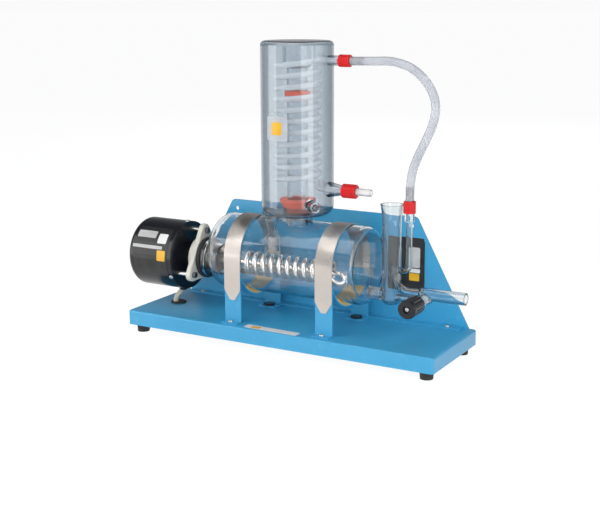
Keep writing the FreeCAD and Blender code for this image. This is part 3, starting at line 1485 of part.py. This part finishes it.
makers = {
    "base_tray": make_base_tray,
    "rubber_feet": make_rubber_feet,
    "foot_screws": make_foot_screws,
    "foot_nuts": make_foot_nuts,
    "back_panel": make_back_panel,
    "panel_screws": make_panel_screws,
    "tray_nuts": make_tray_nuts,
    "saddle_left": lambda: make_saddle(left_x),
    "saddle_right": lambda: make_saddle(right_x),
    "saddle_screws": make_saddle_screws,
    "saddle_caps": make_saddle_caps,
    "saddle_pads": make_saddle_pads,
    "strap_left": lambda: make_strap(left_x),
    "strap_right": lambda: make_strap(right_x),
    "strap_nuts": make_strap_nuts,
    "boiler_glass": make_boiler_glass,
    "neck_bung": make_neck_bung,
    "clamp_flange": make_clamp_flange,
    "head_bolts": make_head_bolts,
    "spacers": make_spacers,
    "terminal_disc": make_terminal_disc,
    "heater_cover": make_heater_cover,
    "cover_screws": make_cover_screws,
    "cover_gland": lambda: make_cover_gland(heater_cable),
    "terminal_block": make_terminal_block,
    "terminal_studs": make_terminal_studs,
    "thermal_cutout": make_thermal_cutout,
    "heater_coil": make_heater_coil,
    "rod_glands": make_rod_glands,
    "cable_grommet": lambda: make_cable_grommet(heater_cable),
    "heater_cable": lambda: heater_cable,
    "terminal_strip": make_terminal_strip,
    "mains_gland": make_mains_gland,
    "condenser_jacket": make_condenser_jacket,
    "joint_seal": make_joint_seal,
    "steam_riser": make_steam_riser,
    "riser_bung": make_riser_bung,
    "riser_band": make_riser_band,
    "drip_tube": make_drip_tube,
    "condenser_coil": make_condenser_coil,
    "upper_cap": lambda: make_cap(small_cap_radius, small_cap_length, upper_mouth, along_x),
    "lower_cap": lambda: make_cap(large_cap_radius, large_cap_length, lower_mouth, along_x),
    "level_cap": lambda: make_cap(small_cap_radius, small_cap_length, level_mouth, along_z),
    "upper_connector": lambda: make_connector(small_cap_length, barb_radius, barb_bore, barb_length,
                                              upper_mouth, along_x),
    "lower_connector": lambda: make_connector(large_cap_length, nozzle_radius, nozzle_bore,
                                              nozzle_length, lower_mouth, along_x),
    "level_connector": lambda: make_connector(small_cap_length, barb_radius, barb_bore, barb_length,
                                              level_mouth, along_z),
    "upper_seal": lambda: make_seal(small_cap_length, upper_mouth, along_x),
    "lower_seal": lambda: make_seal(large_cap_length, lower_mouth, along_x),
    "level_seal": lambda: make_seal(small_cap_length, level_mouth, along_z),
    "cooling_hose": make_cooling_hose,
    "level_glass": make_level_glass,
    "level_sleeve": make_level_sleeve,
    "tap_key": make_tap_key,
    "tap_ring": make_tap_ring,
    "tap_knob": make_tap_knob,
    "knob_screw": make_knob_screw,
}


def main():
    os.makedirs("parts", exist_ok=True)
    for name, make in makers.items():
        shape = make()
        solids = shape.Solids
        problems = [] if shape.isValid() else ["not valid"]
        if len(solids) == 1:
            shape = solids[0]
        shape.exportStep(f"parts/{name}.step")
        box = shape.BoundBox
        print(f"{name}: {len(solids)} solid(s), volume {shape.Volume:.0f}, z {box.ZMin:.1f} to {box.ZMax:.1f}",
              *problems)


main()
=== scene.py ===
import bpy
import bmesh
import json
import math
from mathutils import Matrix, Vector


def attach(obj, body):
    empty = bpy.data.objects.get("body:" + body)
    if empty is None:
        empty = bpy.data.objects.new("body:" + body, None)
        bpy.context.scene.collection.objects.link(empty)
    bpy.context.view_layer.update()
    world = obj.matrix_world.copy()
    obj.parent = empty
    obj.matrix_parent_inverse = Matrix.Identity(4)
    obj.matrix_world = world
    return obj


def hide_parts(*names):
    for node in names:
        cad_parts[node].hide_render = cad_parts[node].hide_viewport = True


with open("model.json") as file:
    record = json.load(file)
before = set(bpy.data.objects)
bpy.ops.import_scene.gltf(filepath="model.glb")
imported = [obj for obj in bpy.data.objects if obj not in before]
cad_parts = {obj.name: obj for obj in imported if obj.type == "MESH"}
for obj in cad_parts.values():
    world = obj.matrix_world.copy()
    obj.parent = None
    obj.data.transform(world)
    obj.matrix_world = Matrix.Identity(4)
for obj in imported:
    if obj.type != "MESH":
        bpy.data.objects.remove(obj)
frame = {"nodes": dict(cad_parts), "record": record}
nodes, record = frame["nodes"], frame["record"]
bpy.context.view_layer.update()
scene = bpy.context.scene
scene.view_settings.view_transform = "Standard"

MM = 0.001

# Places on the part that the scene's own pieces follow
BASE_TOP = 0.034
COVER_RADIUS = 0.052
COVER_AXIS = BASE_TOP + 0.0765
JACKET_RADIUS = 0.052
JACKET_X = 0.002
PANEL_FRONT_Y = 0.0725

# The photograph's frame in pixels, its angles in degrees and its distance in metres
FRAME_WIDTH, FRAME_HEIGHT = 600, 525
FOCAL_PIXELS = 1141.9
TARGET_X, TARGET_Y = 327.6, 219.8
SENSOR_WIDTH = 36.0
AZIMUTH, ELEVATION = 28.6, 11.0
DISTANCE = 1.6208
TARGET = (0.0507, 0.0, 0.1871)


# Camera, at the photograph's angle
def make_camera():
    azimuth, elevation = math.radians(AZIMUTH), math.radians(ELEVATION)
    back = Vector((math.sin(azimuth) * math.cos(elevation), -math.cos(azimuth) * math.cos(elevation),
                   math.sin(elevation)))
    data = bpy.data.cameras.new("camera")
    data.sensor_width = SENSOR_WIDTH
    data.lens = FOCAL_PIXELS / FRAME_WIDTH * SENSOR_WIDTH
    data.shift_x = (FRAME_WIDTH / 2 - TARGET_X) / FRAME_WIDTH
    data.shift_y = (TARGET_Y - FRAME_HEIGHT / 2) / FRAME_WIDTH
    camera = bpy.data.objects.new("camera", data)
    camera.location = Vector(TARGET) + back * DISTANCE
    camera.rotation_euler = (-back).to_track_quat("-Z", "Y").to_euler()
    scene.collection.objects.link(camera)
    scene.camera = camera


make_camera()


# Materials
def new_material(name):
    material = bpy.data.materials.new(name)
    material.use_nodes = True
    tree = material.node_tree
    return material, tree, tree.nodes["Principled BSDF"]


def link(tree, a, out, b, inp):
    tree.links.new(a.outputs[out], b.inputs[inp])


def noise(tree, scale, detail=4.0, stretch=(1, 1, 1), distortion=0.0):
    coords = tree.nodes.new("ShaderNodeTexCoord")
    mapping = tree.nodes.new("ShaderNodeMapping")
    mapping.inputs["Scale"].default_value = stretch
    texture = tree.nodes.new("ShaderNodeTexNoise")
    texture.inputs["Scale"].default_value = scale
    texture.inputs["Detail"].default_value = detail
    texture.inputs["Distortion"].default_value = distortion
    link(tree, coords, "Object", mapping, "Vector")
    link(tree, mapping, "Vector", texture, "Vector")
    return texture


def worked_out(tree, operation, first, second):
    """Two things, each a number or a node's output, put together by the given operation."""
    node = tree.nodes.new("ShaderNodeMath")
    node.operation = operation
    for socket, value in zip(node.inputs, (first, second)):
        if isinstance(value, float):
            socket.default_value = value
        else:
            tree.links.new(value, socket)
    return node.outputs["Value"]


def spread(tree, texture, low, high, near=0.35, far=0.65):
    """A number that varies with a texture, for roughness and the like."""
    node = tree.nodes.new("ShaderNodeMapRange")
    node.inputs["From Min"].default_value = near
    node.inputs["From Max"].default_value = far
    node.inputs["To Min"].default_value = low
    node.inputs["To Max"].default_value = high
    link(tree, texture, "Fac", node, "Value")
    return node


def tints(tree, texture, first, second, near=0.35, far=0.65):
    """A colour that varies between two with a texture."""
    ramp = tree.nodes.new("ShaderNodeValToRGB")
    ramp.color_ramp.elements[0].position = near
    ramp.color_ramp.elements[1].position = far
    ramp.color_ramp.elements[0].color = (*first, 1)
    ramp.color_ramp.elements[1].color = (*second, 1)
    link(tree, texture, "Fac", ramp, "Fac")
    return ramp


def bump(tree, shader, texture, strength, distance, height="Fac"):
    node = tree.nodes.new("ShaderNodeBump")
    node.inputs["Strength"].default_value = strength
    node.inputs["Distance"].default_value = distance
    link(tree, texture, height, node, "Height")
    link(tree, node, "Normal", shader, "Normal")


def scatter(shader, weight, radius):
    """Light scattered inside a soft or milky stuff, to a radius for each colour."""
    shader.inputs["Subsurface Weight"].default_value = weight
    shader.inputs["Subsurface Radius"].default_value = radius
    shader.inputs["Subsurface Scale"].default_value = 1.0


def coat_over(shader, weight, rough):
    shader.inputs["Coat Weight"].default_value = weight
    shader.inputs["Coat Roughness"].default_value = rough


def surface(name, first, second, rough, metallic=0.0, grain=900.0, relief=0.1, depth=0.0002, patches=25.0,
            stretch=(1, 1, 1), coat=0.0, specular=0.5, glow=0.0):
    """A finish whose colour, gloss and relief all vary a little; glow is light scattered inside it."""
    material, tree, shader = new_material(name)
    if glow:
        scatter(shader, glow, (0.006, 0.002, 0.001))
    shader.inputs["Metallic"].default_value = metallic
    shader.inputs["Specular IOR Level"].default_value = specular
    if coat:
        coat_over(shader, coat, 0.12)
    broad = noise(tree, patches, 3.0)
    fine = noise(tree, grain, 6.0, stretch)
    link(tree, tints(tree, broad, first, second), "Color", shader, "Base Color")
    link(tree, spread(tree, fine, *rough), "Result", shader, "Roughness")
    bump(tree, shader, fine, relief, depth)
    return material


def light_through(tree, shader):
    """Lets lamps shine through clear glass on to what is inside and behind it."""
    path = tree.nodes.new("ShaderNodeLightPath")
    opacity = worked_out(tree, "SUBTRACT", 1.0, path.outputs["Is Shadow Ray"])
    tree.links.new(opacity, shader.inputs["Alpha"])


def glass(name, colour, edge_shade, rough=0.015, wave=30.0, relief=0.25, ior=1.47, clear=1.0, specular=0.5):
    """Blown glass, with the slight waviness of hand work; its colour darkens where the surface is seen at a
    glancing angle, a painted shade for the dark outlines of glass.
    """
    material, tree, shader = new_material(name)
    shader.inputs["Transmission Weight"].default_value = clear
    shader.inputs["Specular IOR Level"].default_value = specular
    light_through(tree, shader)
    facing = tree.nodes.new("ShaderNodeLayerWeight")
    facing.inputs["Blend"].default_value = 0.5
    # Painted shade: the base colour turns from the glass's own colour, face on, to a darker one at a
    # glancing view.
    ramp = tree.nodes.new("ShaderNodeValToRGB")
    elements = ramp.color_ramp.elements
    elements[0].position, elements[0].color = 0.18, (*colour, 1)
    elements[1].position, elements[1].color = 0.72, (*edge_shade, 1)
    link(tree, facing, "Facing", ramp, "Fac")
    link(tree, ramp, "Color", shader, "Base Color")
    shader.inputs["IOR"].default_value = ior
    shader.inputs["Roughness"].default_value = rough
    ripple = noise(tree, wave, 2.0, distortion=0.4)
    bump(tree, shader, ripple, relief, 0.0004)
    return material


def blue_paint():
    """Powder coat over folded sheet steel, with a fine orange-peel and a few rubbed spots."""
    material, tree, shader = new_material("blue_paint")
    broad = noise(tree, 9.0, 3.0)
    peel = noise(tree, 650.0, 2.0)
    specks = noise(tree, 60.0, 8.0)
    base = tints(tree, broad, (0.042, 0.350, 0.620), (0.054, 0.385, 0.670), 0.3, 0.7)
    worn = tree.nodes.new("ShaderNodeMix")
    worn.data_type = "RGBA"
    worn.inputs["B"].default_value = (0.12, 0.46, 0.72, 1)
    link(tree, base, "Color", worn, "A")
    link(tree, spread(tree, specks, 0.0, 0.5, 0.62, 0.75), "Result", worn, "Factor")
    tree.links.new(worn.outputs["Result"], shader.inputs["Base Color"])
    link(tree, spread(tree, broad, 0.30, 0.42), "Result", shader, "Roughness")
    coat_over(shader, 0.25, 0.2)
    bump(tree, shader, peel, 0.18, 0.0002)
    return material


def brushed(name, first, second, rough, stretch):
    """Brushed metal, with its grain along one axis."""
    material, tree, shader = new_material(name)
    shader.inputs["Metallic"].default_value = 1.0
    shader.inputs["Anisotropic"].default_value = 0.6
    grain = noise(tree, 260.0, 6.0, stretch)
    broad = noise(tree, 14.0, 3.0)
    link(tree, tints(tree, broad, first, second), "Color", shader, "Base Color")
    link(tree, spread(tree, grain, *rough), "Result", shader, "Roughness")
    bump(tree, shader, grain, 0.12, 0.0001)
    return material


def cork():
    """Pressed cork, in grains a few millimetres across."""
    material, tree, shader = new_material("cork")
    grains = tree.nodes.new("ShaderNodeTexVoronoi")
    grains.inputs["Scale"].default_value = 420.0
    coords = tree.nodes.new("ShaderNodeTexCoord")
    link(tree, coords, "Object", grains, "Vector")
    ramp = tree.nodes.new("ShaderNodeValToRGB")
    ramp.color_ramp.elements[0].color = (0.62, 0.40, 0.11, 1)
    ramp.color_ramp.elements[1].color = (0.78, 0.56, 0.22, 1)
    link(tree, grains, "Distance", ramp, "Fac")
    link(tree, ramp, "Color", shader, "Base Color")
    shader.inputs["Roughness"].default_value = 0.85
    bump(tree, shader, grains, 0.5, 0.0004, "Distance")
    return material


def heat_tinted():
    """The heater's polished sheath, with a faint straw tint from heat."""
    material, tree, shader = new_material("polished_heater")
    shader.inputs["Metallic"].default_value = 1.0
    patches = noise(tree, 70.0, 3.0)
    fine = noise(tree, 700.0, 5.0)
    link(tree, tints(tree, patches, (0.80, 0.80, 0.81), (0.72, 0.68, 0.62)), "Color", shader, "Base Color")
    link(tree, spread(tree, fine, 0.10, 0.2), "Result", shader, "Roughness")
    bump(tree, shader, fine, 0.05, 0.0001)
    return material


def hose_plastic():
    """Clear silicone hose, milky through its own thickness."""
    material, tree, shader = new_material("hose_silicone")
    shader.inputs["Transmission Weight"].default_value = 0.72
    shader.inputs["IOR"].default_value = 1.41
    shader.inputs["Roughness"].default_value = 0.22
    scatter(shader, 0.25, (0.006, 0.005, 0.005))
    streaks = noise(tree, 40.0, 4.0)
    link(tree, tints(tree, streaks, (0.60, 0.62, 0.67), (0.72, 0.74, 0.79)), "Color", shader, "Base Color")
    bump(tree, shader, streaks, 0.2, 0.0004)
    return material


MATERIALS = {
    "blue_paint": blue_paint(),
    "stainless_steel": brushed("stainless_steel", (0.60, 0.55, 0.51), (0.68, 0.62, 0.57), (0.26, 0.38),
                               (12, 1, 1)),
    "polished_heater": heat_tinted(),
    "plated_screws": surface("plated_screws", (0.74, 0.74, 0.73), (0.62, 0.62, 0.60), (0.18, 0.32),
                             metallic=1.0, grain=1500.0, relief=0.06),
    "dark_bolts": surface("dark_bolts", (0.30, 0.30, 0.31), (0.20, 0.20, 0.21), (0.25, 0.4),
                          metallic=1.0, grain=1500.0),
    "clear_glass": glass("clear_glass", (0.93, 0.955, 0.965), (0.42, 0.50, 0.56)),
    "black_rubber": surface("black_rubber", (0.012, 0.012, 0.013), (0.022, 0.022, 0.023), (0.5, 0.7),
                            grain=1400.0, relief=0.25),
    "black_plastic": surface("black_plastic", (0.005, 0.006, 0.010), (0.010, 0.011, 0.016), (0.16, 0.28),
                             grain=1600.0, relief=0.10, coat=0.1, specular=0.4),
    "cream_casting": surface("cream_casting", (0.62, 0.60, 0.53), (0.72, 0.70, 0.62), (0.32, 0.45),
                             grain=500.0, relief=0.22, depth=0.0003),
    "cork": cork(),
    "ceramic": surface("ceramic", (0.72, 0.69, 0.62), (0.80, 0.78, 0.72), (0.15, 0.25), grain=300.0),
    "brass": surface("brass", (0.72, 0.52, 0.22), (0.62, 0.43, 0.17), (0.18, 0.3), metallic=1.0,
                     grain=1200.0),
    "grey_plastic": surface("grey_plastic", (0.16, 0.16, 0.17), (0.22, 0.22, 0.23), (0.4, 0.55)),
    "cream_cable": surface("cream_cable", (0.56, 0.52, 0.41), (0.66, 0.62, 0.50), (0.45, 0.6),
                           grain=900.0, relief=0.3, stretch=(1, 1, 0.2)),
    "red_silicone": surface("red_silicone", (0.76, 0.095, 0.05), (0.84, 0.14, 0.075), (0.4, 0.55),
                            grain=800.0, glow=0.2),
    "red_plastic": surface("red_plastic", (0.60, 0.008, 0.011), (0.72, 0.014, 0.017), (0.28, 0.40),
                           grain=900.0, relief=0.12, coat=0.08, specular=0.3),
    "clear_plastic": glass("clear_plastic", (0.90, 0.89, 0.89), (0.62, 0.62, 0.64), 0.12, 160.0, 0.2,
                           ior=1.45, clear=0.6),
    "clear_silicone": glass("clear_silicone", (0.95, 0.96, 0.96), (0.70, 0.74, 0.76), 0.08, 120.0, 0.2,
                            ior=1.41, clear=0.96, specular=0.3),
    "white_plastic": surface("white_plastic", (0.82, 0.82, 0.81), (0.88, 0.88, 0.87), (0.3, 0.42),
                             grain=900.0),
}
# Glass pieces that differ from the plain clear glass, by node
GLASSWARE = {
    # Painted shade: the jacket's glass is tinted grey all through and near black at a glancing view, darker
    # than clear glass.
    "condenser_jacket": glass("condenser_glass", (0.65, 0.70, 0.74), (0.13, 0.18, 0.23), specular=1.0),
    # Painted highlight: the coil's glass is half milky near-white, standing in for the bright reflections
    # along its turns.
    "condenser_coil": glass("coil_glass_painted_sheen", (0.98, 0.985, 0.99), (0.84, 0.87, 0.90), clear=0.5, specular=1.0),
    "steam_riser": glass("riser_glass", (0.90, 0.92, 0.94), (0.45, 0.52, 0.58)),
    # Painted shade: the level glass is tinted grey all through, darker than clear glass.
    "level_glass": glass("level_glass", (0.84, 0.885, 0.90), (0.28, 0.36, 0.41), specular=0.3),
    "boiler_glass": glass("boiler_glass", (0.985, 0.992, 0.995), (0.74, 0.80, 0.84), specular=0.8),
}
for part in record["subparts"]:
    thing = nodes[part["node"]]
    for place in thing.material_slots:
        place.material = GLASSWARE.get(part["node"], MATERIALS[part["material_slot"]])


# The cooling hose, out of the upper connector and down to the level device, in millimetres
HOSE_POINTS = [(87.6, 0, 411.6), (118, 0, 411.9), (147, 0, 413.5), (176, 0, 407), (201, 0, 388),
               (215, 0, 361), (212, 0, 333), (198, 0, 304), (184, 0, 276), (178, 0, 251), (178, 0, 225.6)]
HOSE_RADIUS = 6


def make_hose():
    curve = bpy.data.curves.new("hose", "CURVE")
    curve.dimensions = "3D"
    spline = curve.splines.new("NURBS")
    spline.points.add(len(HOSE_POINTS) - 1)
    for point, (x, y, z) in zip(spline.points, HOSE_POINTS):
        point.co = (x * MM, y * MM, z * MM, 1)
    spline.order_u = 3
    spline.use_endpoint_u = True
    spline.use_smooth = True
    spline.resolution_u = 24
    curve.bevel_depth = HOSE_RADIUS * MM
    curve.bevel_resolution = 10
    curve.use_fill_caps = True
    curve.materials.append(hose_plastic())
    hose = bpy.data.objects.new("hose", curve)
    scene.collection.objects.link(hose)
    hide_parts("cooling_hose")
    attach(hose, "stand")


make_hose()


# Labels, each a blank plate or a plain block of colour
LABEL_GAP = 0.00008
PAPER_THICKNESS = 0.0003
PLATE_THICKNESS = 0.0006
PRINT_THICKNESS = 0.0001
LABEL_COLUMNS, LABEL_ROWS = 16, 12


def printed(name, first, second):
    return surface(name, first, second, (0.3, 0.42), grain=1200.0, relief=0.05, patches=60.0)


PAPER = printed("white_label", (0.78, 0.78, 0.77), (0.84, 0.84, 0.83))
FILM = printed("pale_film", (0.44, 0.47, 0.51), (0.50, 0.53, 0.57))
AMBER = printed("amber_print", (0.80, 0.42, 0.012), (0.88, 0.50, 0.02))
SILVER = printed("silver_print", (0.48, 0.48, 0.47), (0.58, 0.58, 0.57))
INK = printed("dark_plate", (0.010, 0.010, 0.011), (0.020, 0.020, 0.021))


def sheet_grid(width, height, corner):
    """A flat sheet with rounded corners, as a grid of (u, v) places."""
    rows = []
    for j in range(LABEL_ROWS + 1):
        v = height * (j / LABEL_ROWS - 0.5)
        inset = 0.0
        near = corner - (height / 2 - abs(v))
        if near > 0:
            inset = corner - math.sqrt(max(corner ** 2 - near ** 2, 0.0))
        span = width - 2 * inset
        rows.append([(span * (i / LABEL_COLUMNS - 0.5), v) for i in range(LABEL_COLUMNS + 1)])
    return rows


def label(name, place, width, height, material, corner=0.0015,
          thickness=PAPER_THICKNESS):
    """A thin label: place(u, v, w) gives its points, w out of the surface."""
    rows = sheet_grid(width, height, corner)
    corners, faces = [], []
    count = LABEL_COLUMNS + 1
    for w in (thickness, 0.0):
        for row in rows:
            corners += [place(u, v, w) for u, v in row]
    layer = count * (LABEL_ROWS + 1)
    for j in range(LABEL_ROWS):
        for i in range(LABEL_COLUMNS):
            a = j * count + i
            faces.append((a, a + 1, a + count + 1, a + count))
            faces.append(tuple(layer + k for k in (a, a + count, a + count + 1, a + 1)))
    rim = [i for i in range(LABEL_COLUMNS)] + [j * count + LABEL_COLUMNS for j in range(LABEL_ROWS)]
    rim += [LABEL_ROWS * count + LABEL_COLUMNS - i for i in range(LABEL_COLUMNS)]
    rim += [(LABEL_ROWS - j) * count for j in range(LABEL_ROWS)]
    for k, a in enumerate(rim):
        b = rim[(k + 1) % len(rim)]
        faces.append((a, layer + a, layer + b, b))
    mesh = bpy.data.meshes.new(name)
    mesh.from_pydata(corners, [], faces)
    mesh.update()
    mesh.materials.append(material)
    thing = bpy.data.objects.new(name, mesh)
    scene.collection.objects.link(thing)
    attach(thing, "stand")


def block(name, place, width, height, material, corner=0.001):
    """A plain block of colour, printed on a label."""
    label(name, place, width, height, material, corner=corner, thickness=PRINT_THICKNESS)


def on_tray_front(x, y, lift=0.0):
    """A label that lies on the tray's top, turned a little as stuck by hand."""
    turn, gap = math.radians(-2.0), 0.00005

    def place(u, v, w):
        return (x + u * math.cos(turn) - v * math.sin(turn), y + u * math.sin(turn) + v * math.cos(turn),
                BASE_TOP + gap + (w + lift))
    return place


def on_cover(x, angle, lift=0.0):
    """A label round the heater cover: u along it, v round it. Angle 0 faces the front."""
    radius = COVER_RADIUS + LABEL_GAP + lift

    def place(u, v, w):
        a = math.radians(angle) + v / radius
        return (x + u, -(radius + w) * math.cos(a), COVER_AXIS + (radius + w) * math.sin(a))
    return place


def on_jacket(angle, level, lift=0.0):
    """A label round the condenser: u round it, v up it. Angle 0 faces the front."""
    radius = JACKET_RADIUS + LABEL_GAP + lift

    def place(u, v, w):
        a = math.radians(angle) + u / radius
        return (JACKET_X + (radius + w) * math.sin(a), -(radius + w) * math.cos(a), BASE_TOP + level + v)
    return place


def on_panel(x, level, lift=0.0):
    """A plate on the front of the back panel."""
    def place(u, v, w):
        return (x + u, PANEL_FRONT_Y - LABEL_GAP - lift - w, BASE_TOP + level + v)
    return place


label("tray_label", on_tray_front(-0.004, -0.066), 0.088, 0.014, PAPER)
block("tray_label_mark", on_tray_front(-0.030, -0.066, PAPER_THICKNESS), 0.016, 0.009, AMBER)
label("cover_plate", on_cover(-0.2265, 14), 0.062, 0.078, INK)
for name, x, angle, width, height, print_colour in [
        ("cover_block_top", -0.238, 42, 0.034, 0.012, SILVER),
        ("cover_block_white", -0.208, 36, 0.016, 0.016, PAPER),
        ("cover_block_strip", -0.232, 20, 0.054, 0.005, SILVER),
        ("cover_block_amber", -0.206, 7, 0.015, 0.016, AMBER)]:
    block(name, on_cover(x, angle, PAPER_THICKNESS), width, height, print_colour)
label("jacket_label", on_jacket(-4, 0.285), 0.034, 0.034, FILM)
block("jacket_label_amber", on_jacket(-4, 0.285, PAPER_THICKNESS), 0.017, 0.018, AMBER, 0.002)
label("panel_plate", on_panel(0.1385, 0.0845), 0.063, 0.079, INK, 0.002, PLATE_THICKNESS)
for name, x, level, width, height, print_colour in [
        ("panel_block_white", 0.153, 0.095, 0.020, 0.030, SILVER),
        ("panel_block_strip", 0.153, 0.0755, 0.020, 0.006, PAPER),
        ("panel_block_amber", 0.154, 0.066, 0.016, 0.011, AMBER)]:
    block(name, on_panel(x, level, PLATE_THICKNESS), width, height, print_colour)


# Floor, light and surroundings
FLOOR_RADIUS = 40.0
WORLD_STRENGTH = 0.72


def make_floor():
    """A pale floor: part of its white is its own wherever it is seen, the rest keeps the shadow."""
    mesh = bpy.data.meshes.new("floor")
    form = bmesh.new()
    bmesh.ops.create_circle(form, cap_ends=True, segments=64, radius=FLOOR_RADIUS)
    form.to_mesh(mesh)
    form.free()
    material, tree, shader = new_material("floor")
    shader.inputs["Roughness"].default_value = 0.7
    greys = tints(tree, noise(tree, 3.0), (0.86, 0.86, 0.86), (0.88, 0.88, 0.88))
    link(tree, greys, "Color", shader, "Base Color")
    path = tree.nodes.new("ShaderNodeLightPath").outputs
    mirrored = worked_out(tree, "MAXIMUM", path["Is Glossy Ray"], path["Is Transmission Ray"])
    seen = worked_out(tree, "MAXIMUM", path["Is Camera Ray"], mirrored)
    share = worked_out(tree, "MULTIPLY", seen, 0.84)
    glow = tree.nodes.new("ShaderNodeEmission")
    glow.inputs["Color"].default_value = (1, 1, 1, 1)
    glow.inputs["Strength"].default_value = 1.12
    mix = tree.nodes.new("ShaderNodeMixShader")
    tree.links.new(share, mix.inputs["Fac"])
    tree.links.new(shader.outputs["BSDF"], mix.inputs[1])
    tree.links.new(glow.outputs["Emission"], mix.inputs[2])
    tree.links.new(mix.outputs["Shader"], tree.nodes["Material Output"].inputs["Surface"])
    mesh.materials.append(material)
    floor = bpy.data.objects.new("floor", mesh)
    scene.collection.objects.link(floor)


def make_world():
    """A grey studio that is white where it is seen past the floor, by the eye or through glass."""
    world = bpy.data.worlds.new("studio")
    world.use_nodes = True
    tree = world.node_tree
    background = tree.nodes["Background"]
    coords = tree.nodes.new("ShaderNodeTexCoord")
    split = tree.nodes.new("ShaderNodeSeparateXYZ")
    link(tree, coords, "Generated", split, "Vector")
    ramp = tree.nodes.new("ShaderNodeValToRGB")
    elements = ramp.color_ramp.elements
    elements[0].position, elements[0].color = 0.0, (0.50, 0.52, 0.55, 1)
    elements[1].position, elements[1].color = 0.75, (0.16, 0.17, 0.18, 1)
    middle = elements.new(0.25)
    middle.color = (0.46, 0.47, 0.49, 1)
    link(tree, split, "Z", ramp, "Fac")
    path = tree.nodes.new("ShaderNodeLightPath").outputs
    seen = worked_out(tree, "MAXIMUM", path["Is Camera Ray"], path["Is Transmission Ray"])
    mix = tree.nodes.new("ShaderNodeMix")
    mix.data_type = "RGBA"
    mix.inputs["B"].default_value = (1.33, 1.33, 1.33, 1)
    link(tree, ramp, "Color", mix, "A")
    tree.links.new(seen, mix.inputs["Factor"])
    tree.links.new(mix.outputs["Result"], background.inputs["Color"])
    background.inputs["Strength"].default_value = WORLD_STRENGTH
    scene.world = world


def area_light(name, place, aim, width, height, power, mirrored=True):
    """A lamp in watts that the camera doesn't see; one that isn't mirrored shows in no gloss or glass."""
    data = bpy.data.lights.new(name, "AREA")
    data.shape = "RECTANGLE"
    data.size, data.size_y = width, height
    data.energy = power
    lamp = bpy.data.objects.new(name, data)
    lamp.location = place
    lamp.rotation_euler = (Vector(aim) - Vector(place)).to_track_quat("-Z", "Y").to_euler()
    lamp.visible_camera = False
    lamp.visible_glossy = mirrored
    lamp.visible_transmission = mirrored
    scene.collection.objects.link(lamp)


make_floor()
make_world()
area_light("softbox_right", (0.96, -0.54, 0.45), (0, 0, 0.45), 0.76, 0.9, 5.6)
area_light("softbox_left", (-0.88, -0.66, 0.45), (0, 0, 0.45), 0.62, 0.9, 4.4)
area_light("overhead", (-0.1, -0.75, 1.5), (0, 0, 0.1), 1.6, 1.2, 10)
area_light("front", (0.5, -2.3, 0.35), (0, 0, 0.1), 1.5, 0.6, 9, mirrored=False)
area_light("back_fill", (-0.5, 2.6, 1.6), (0, 0, 0.15), 2.0, 1.0, 20, mirrored=False)
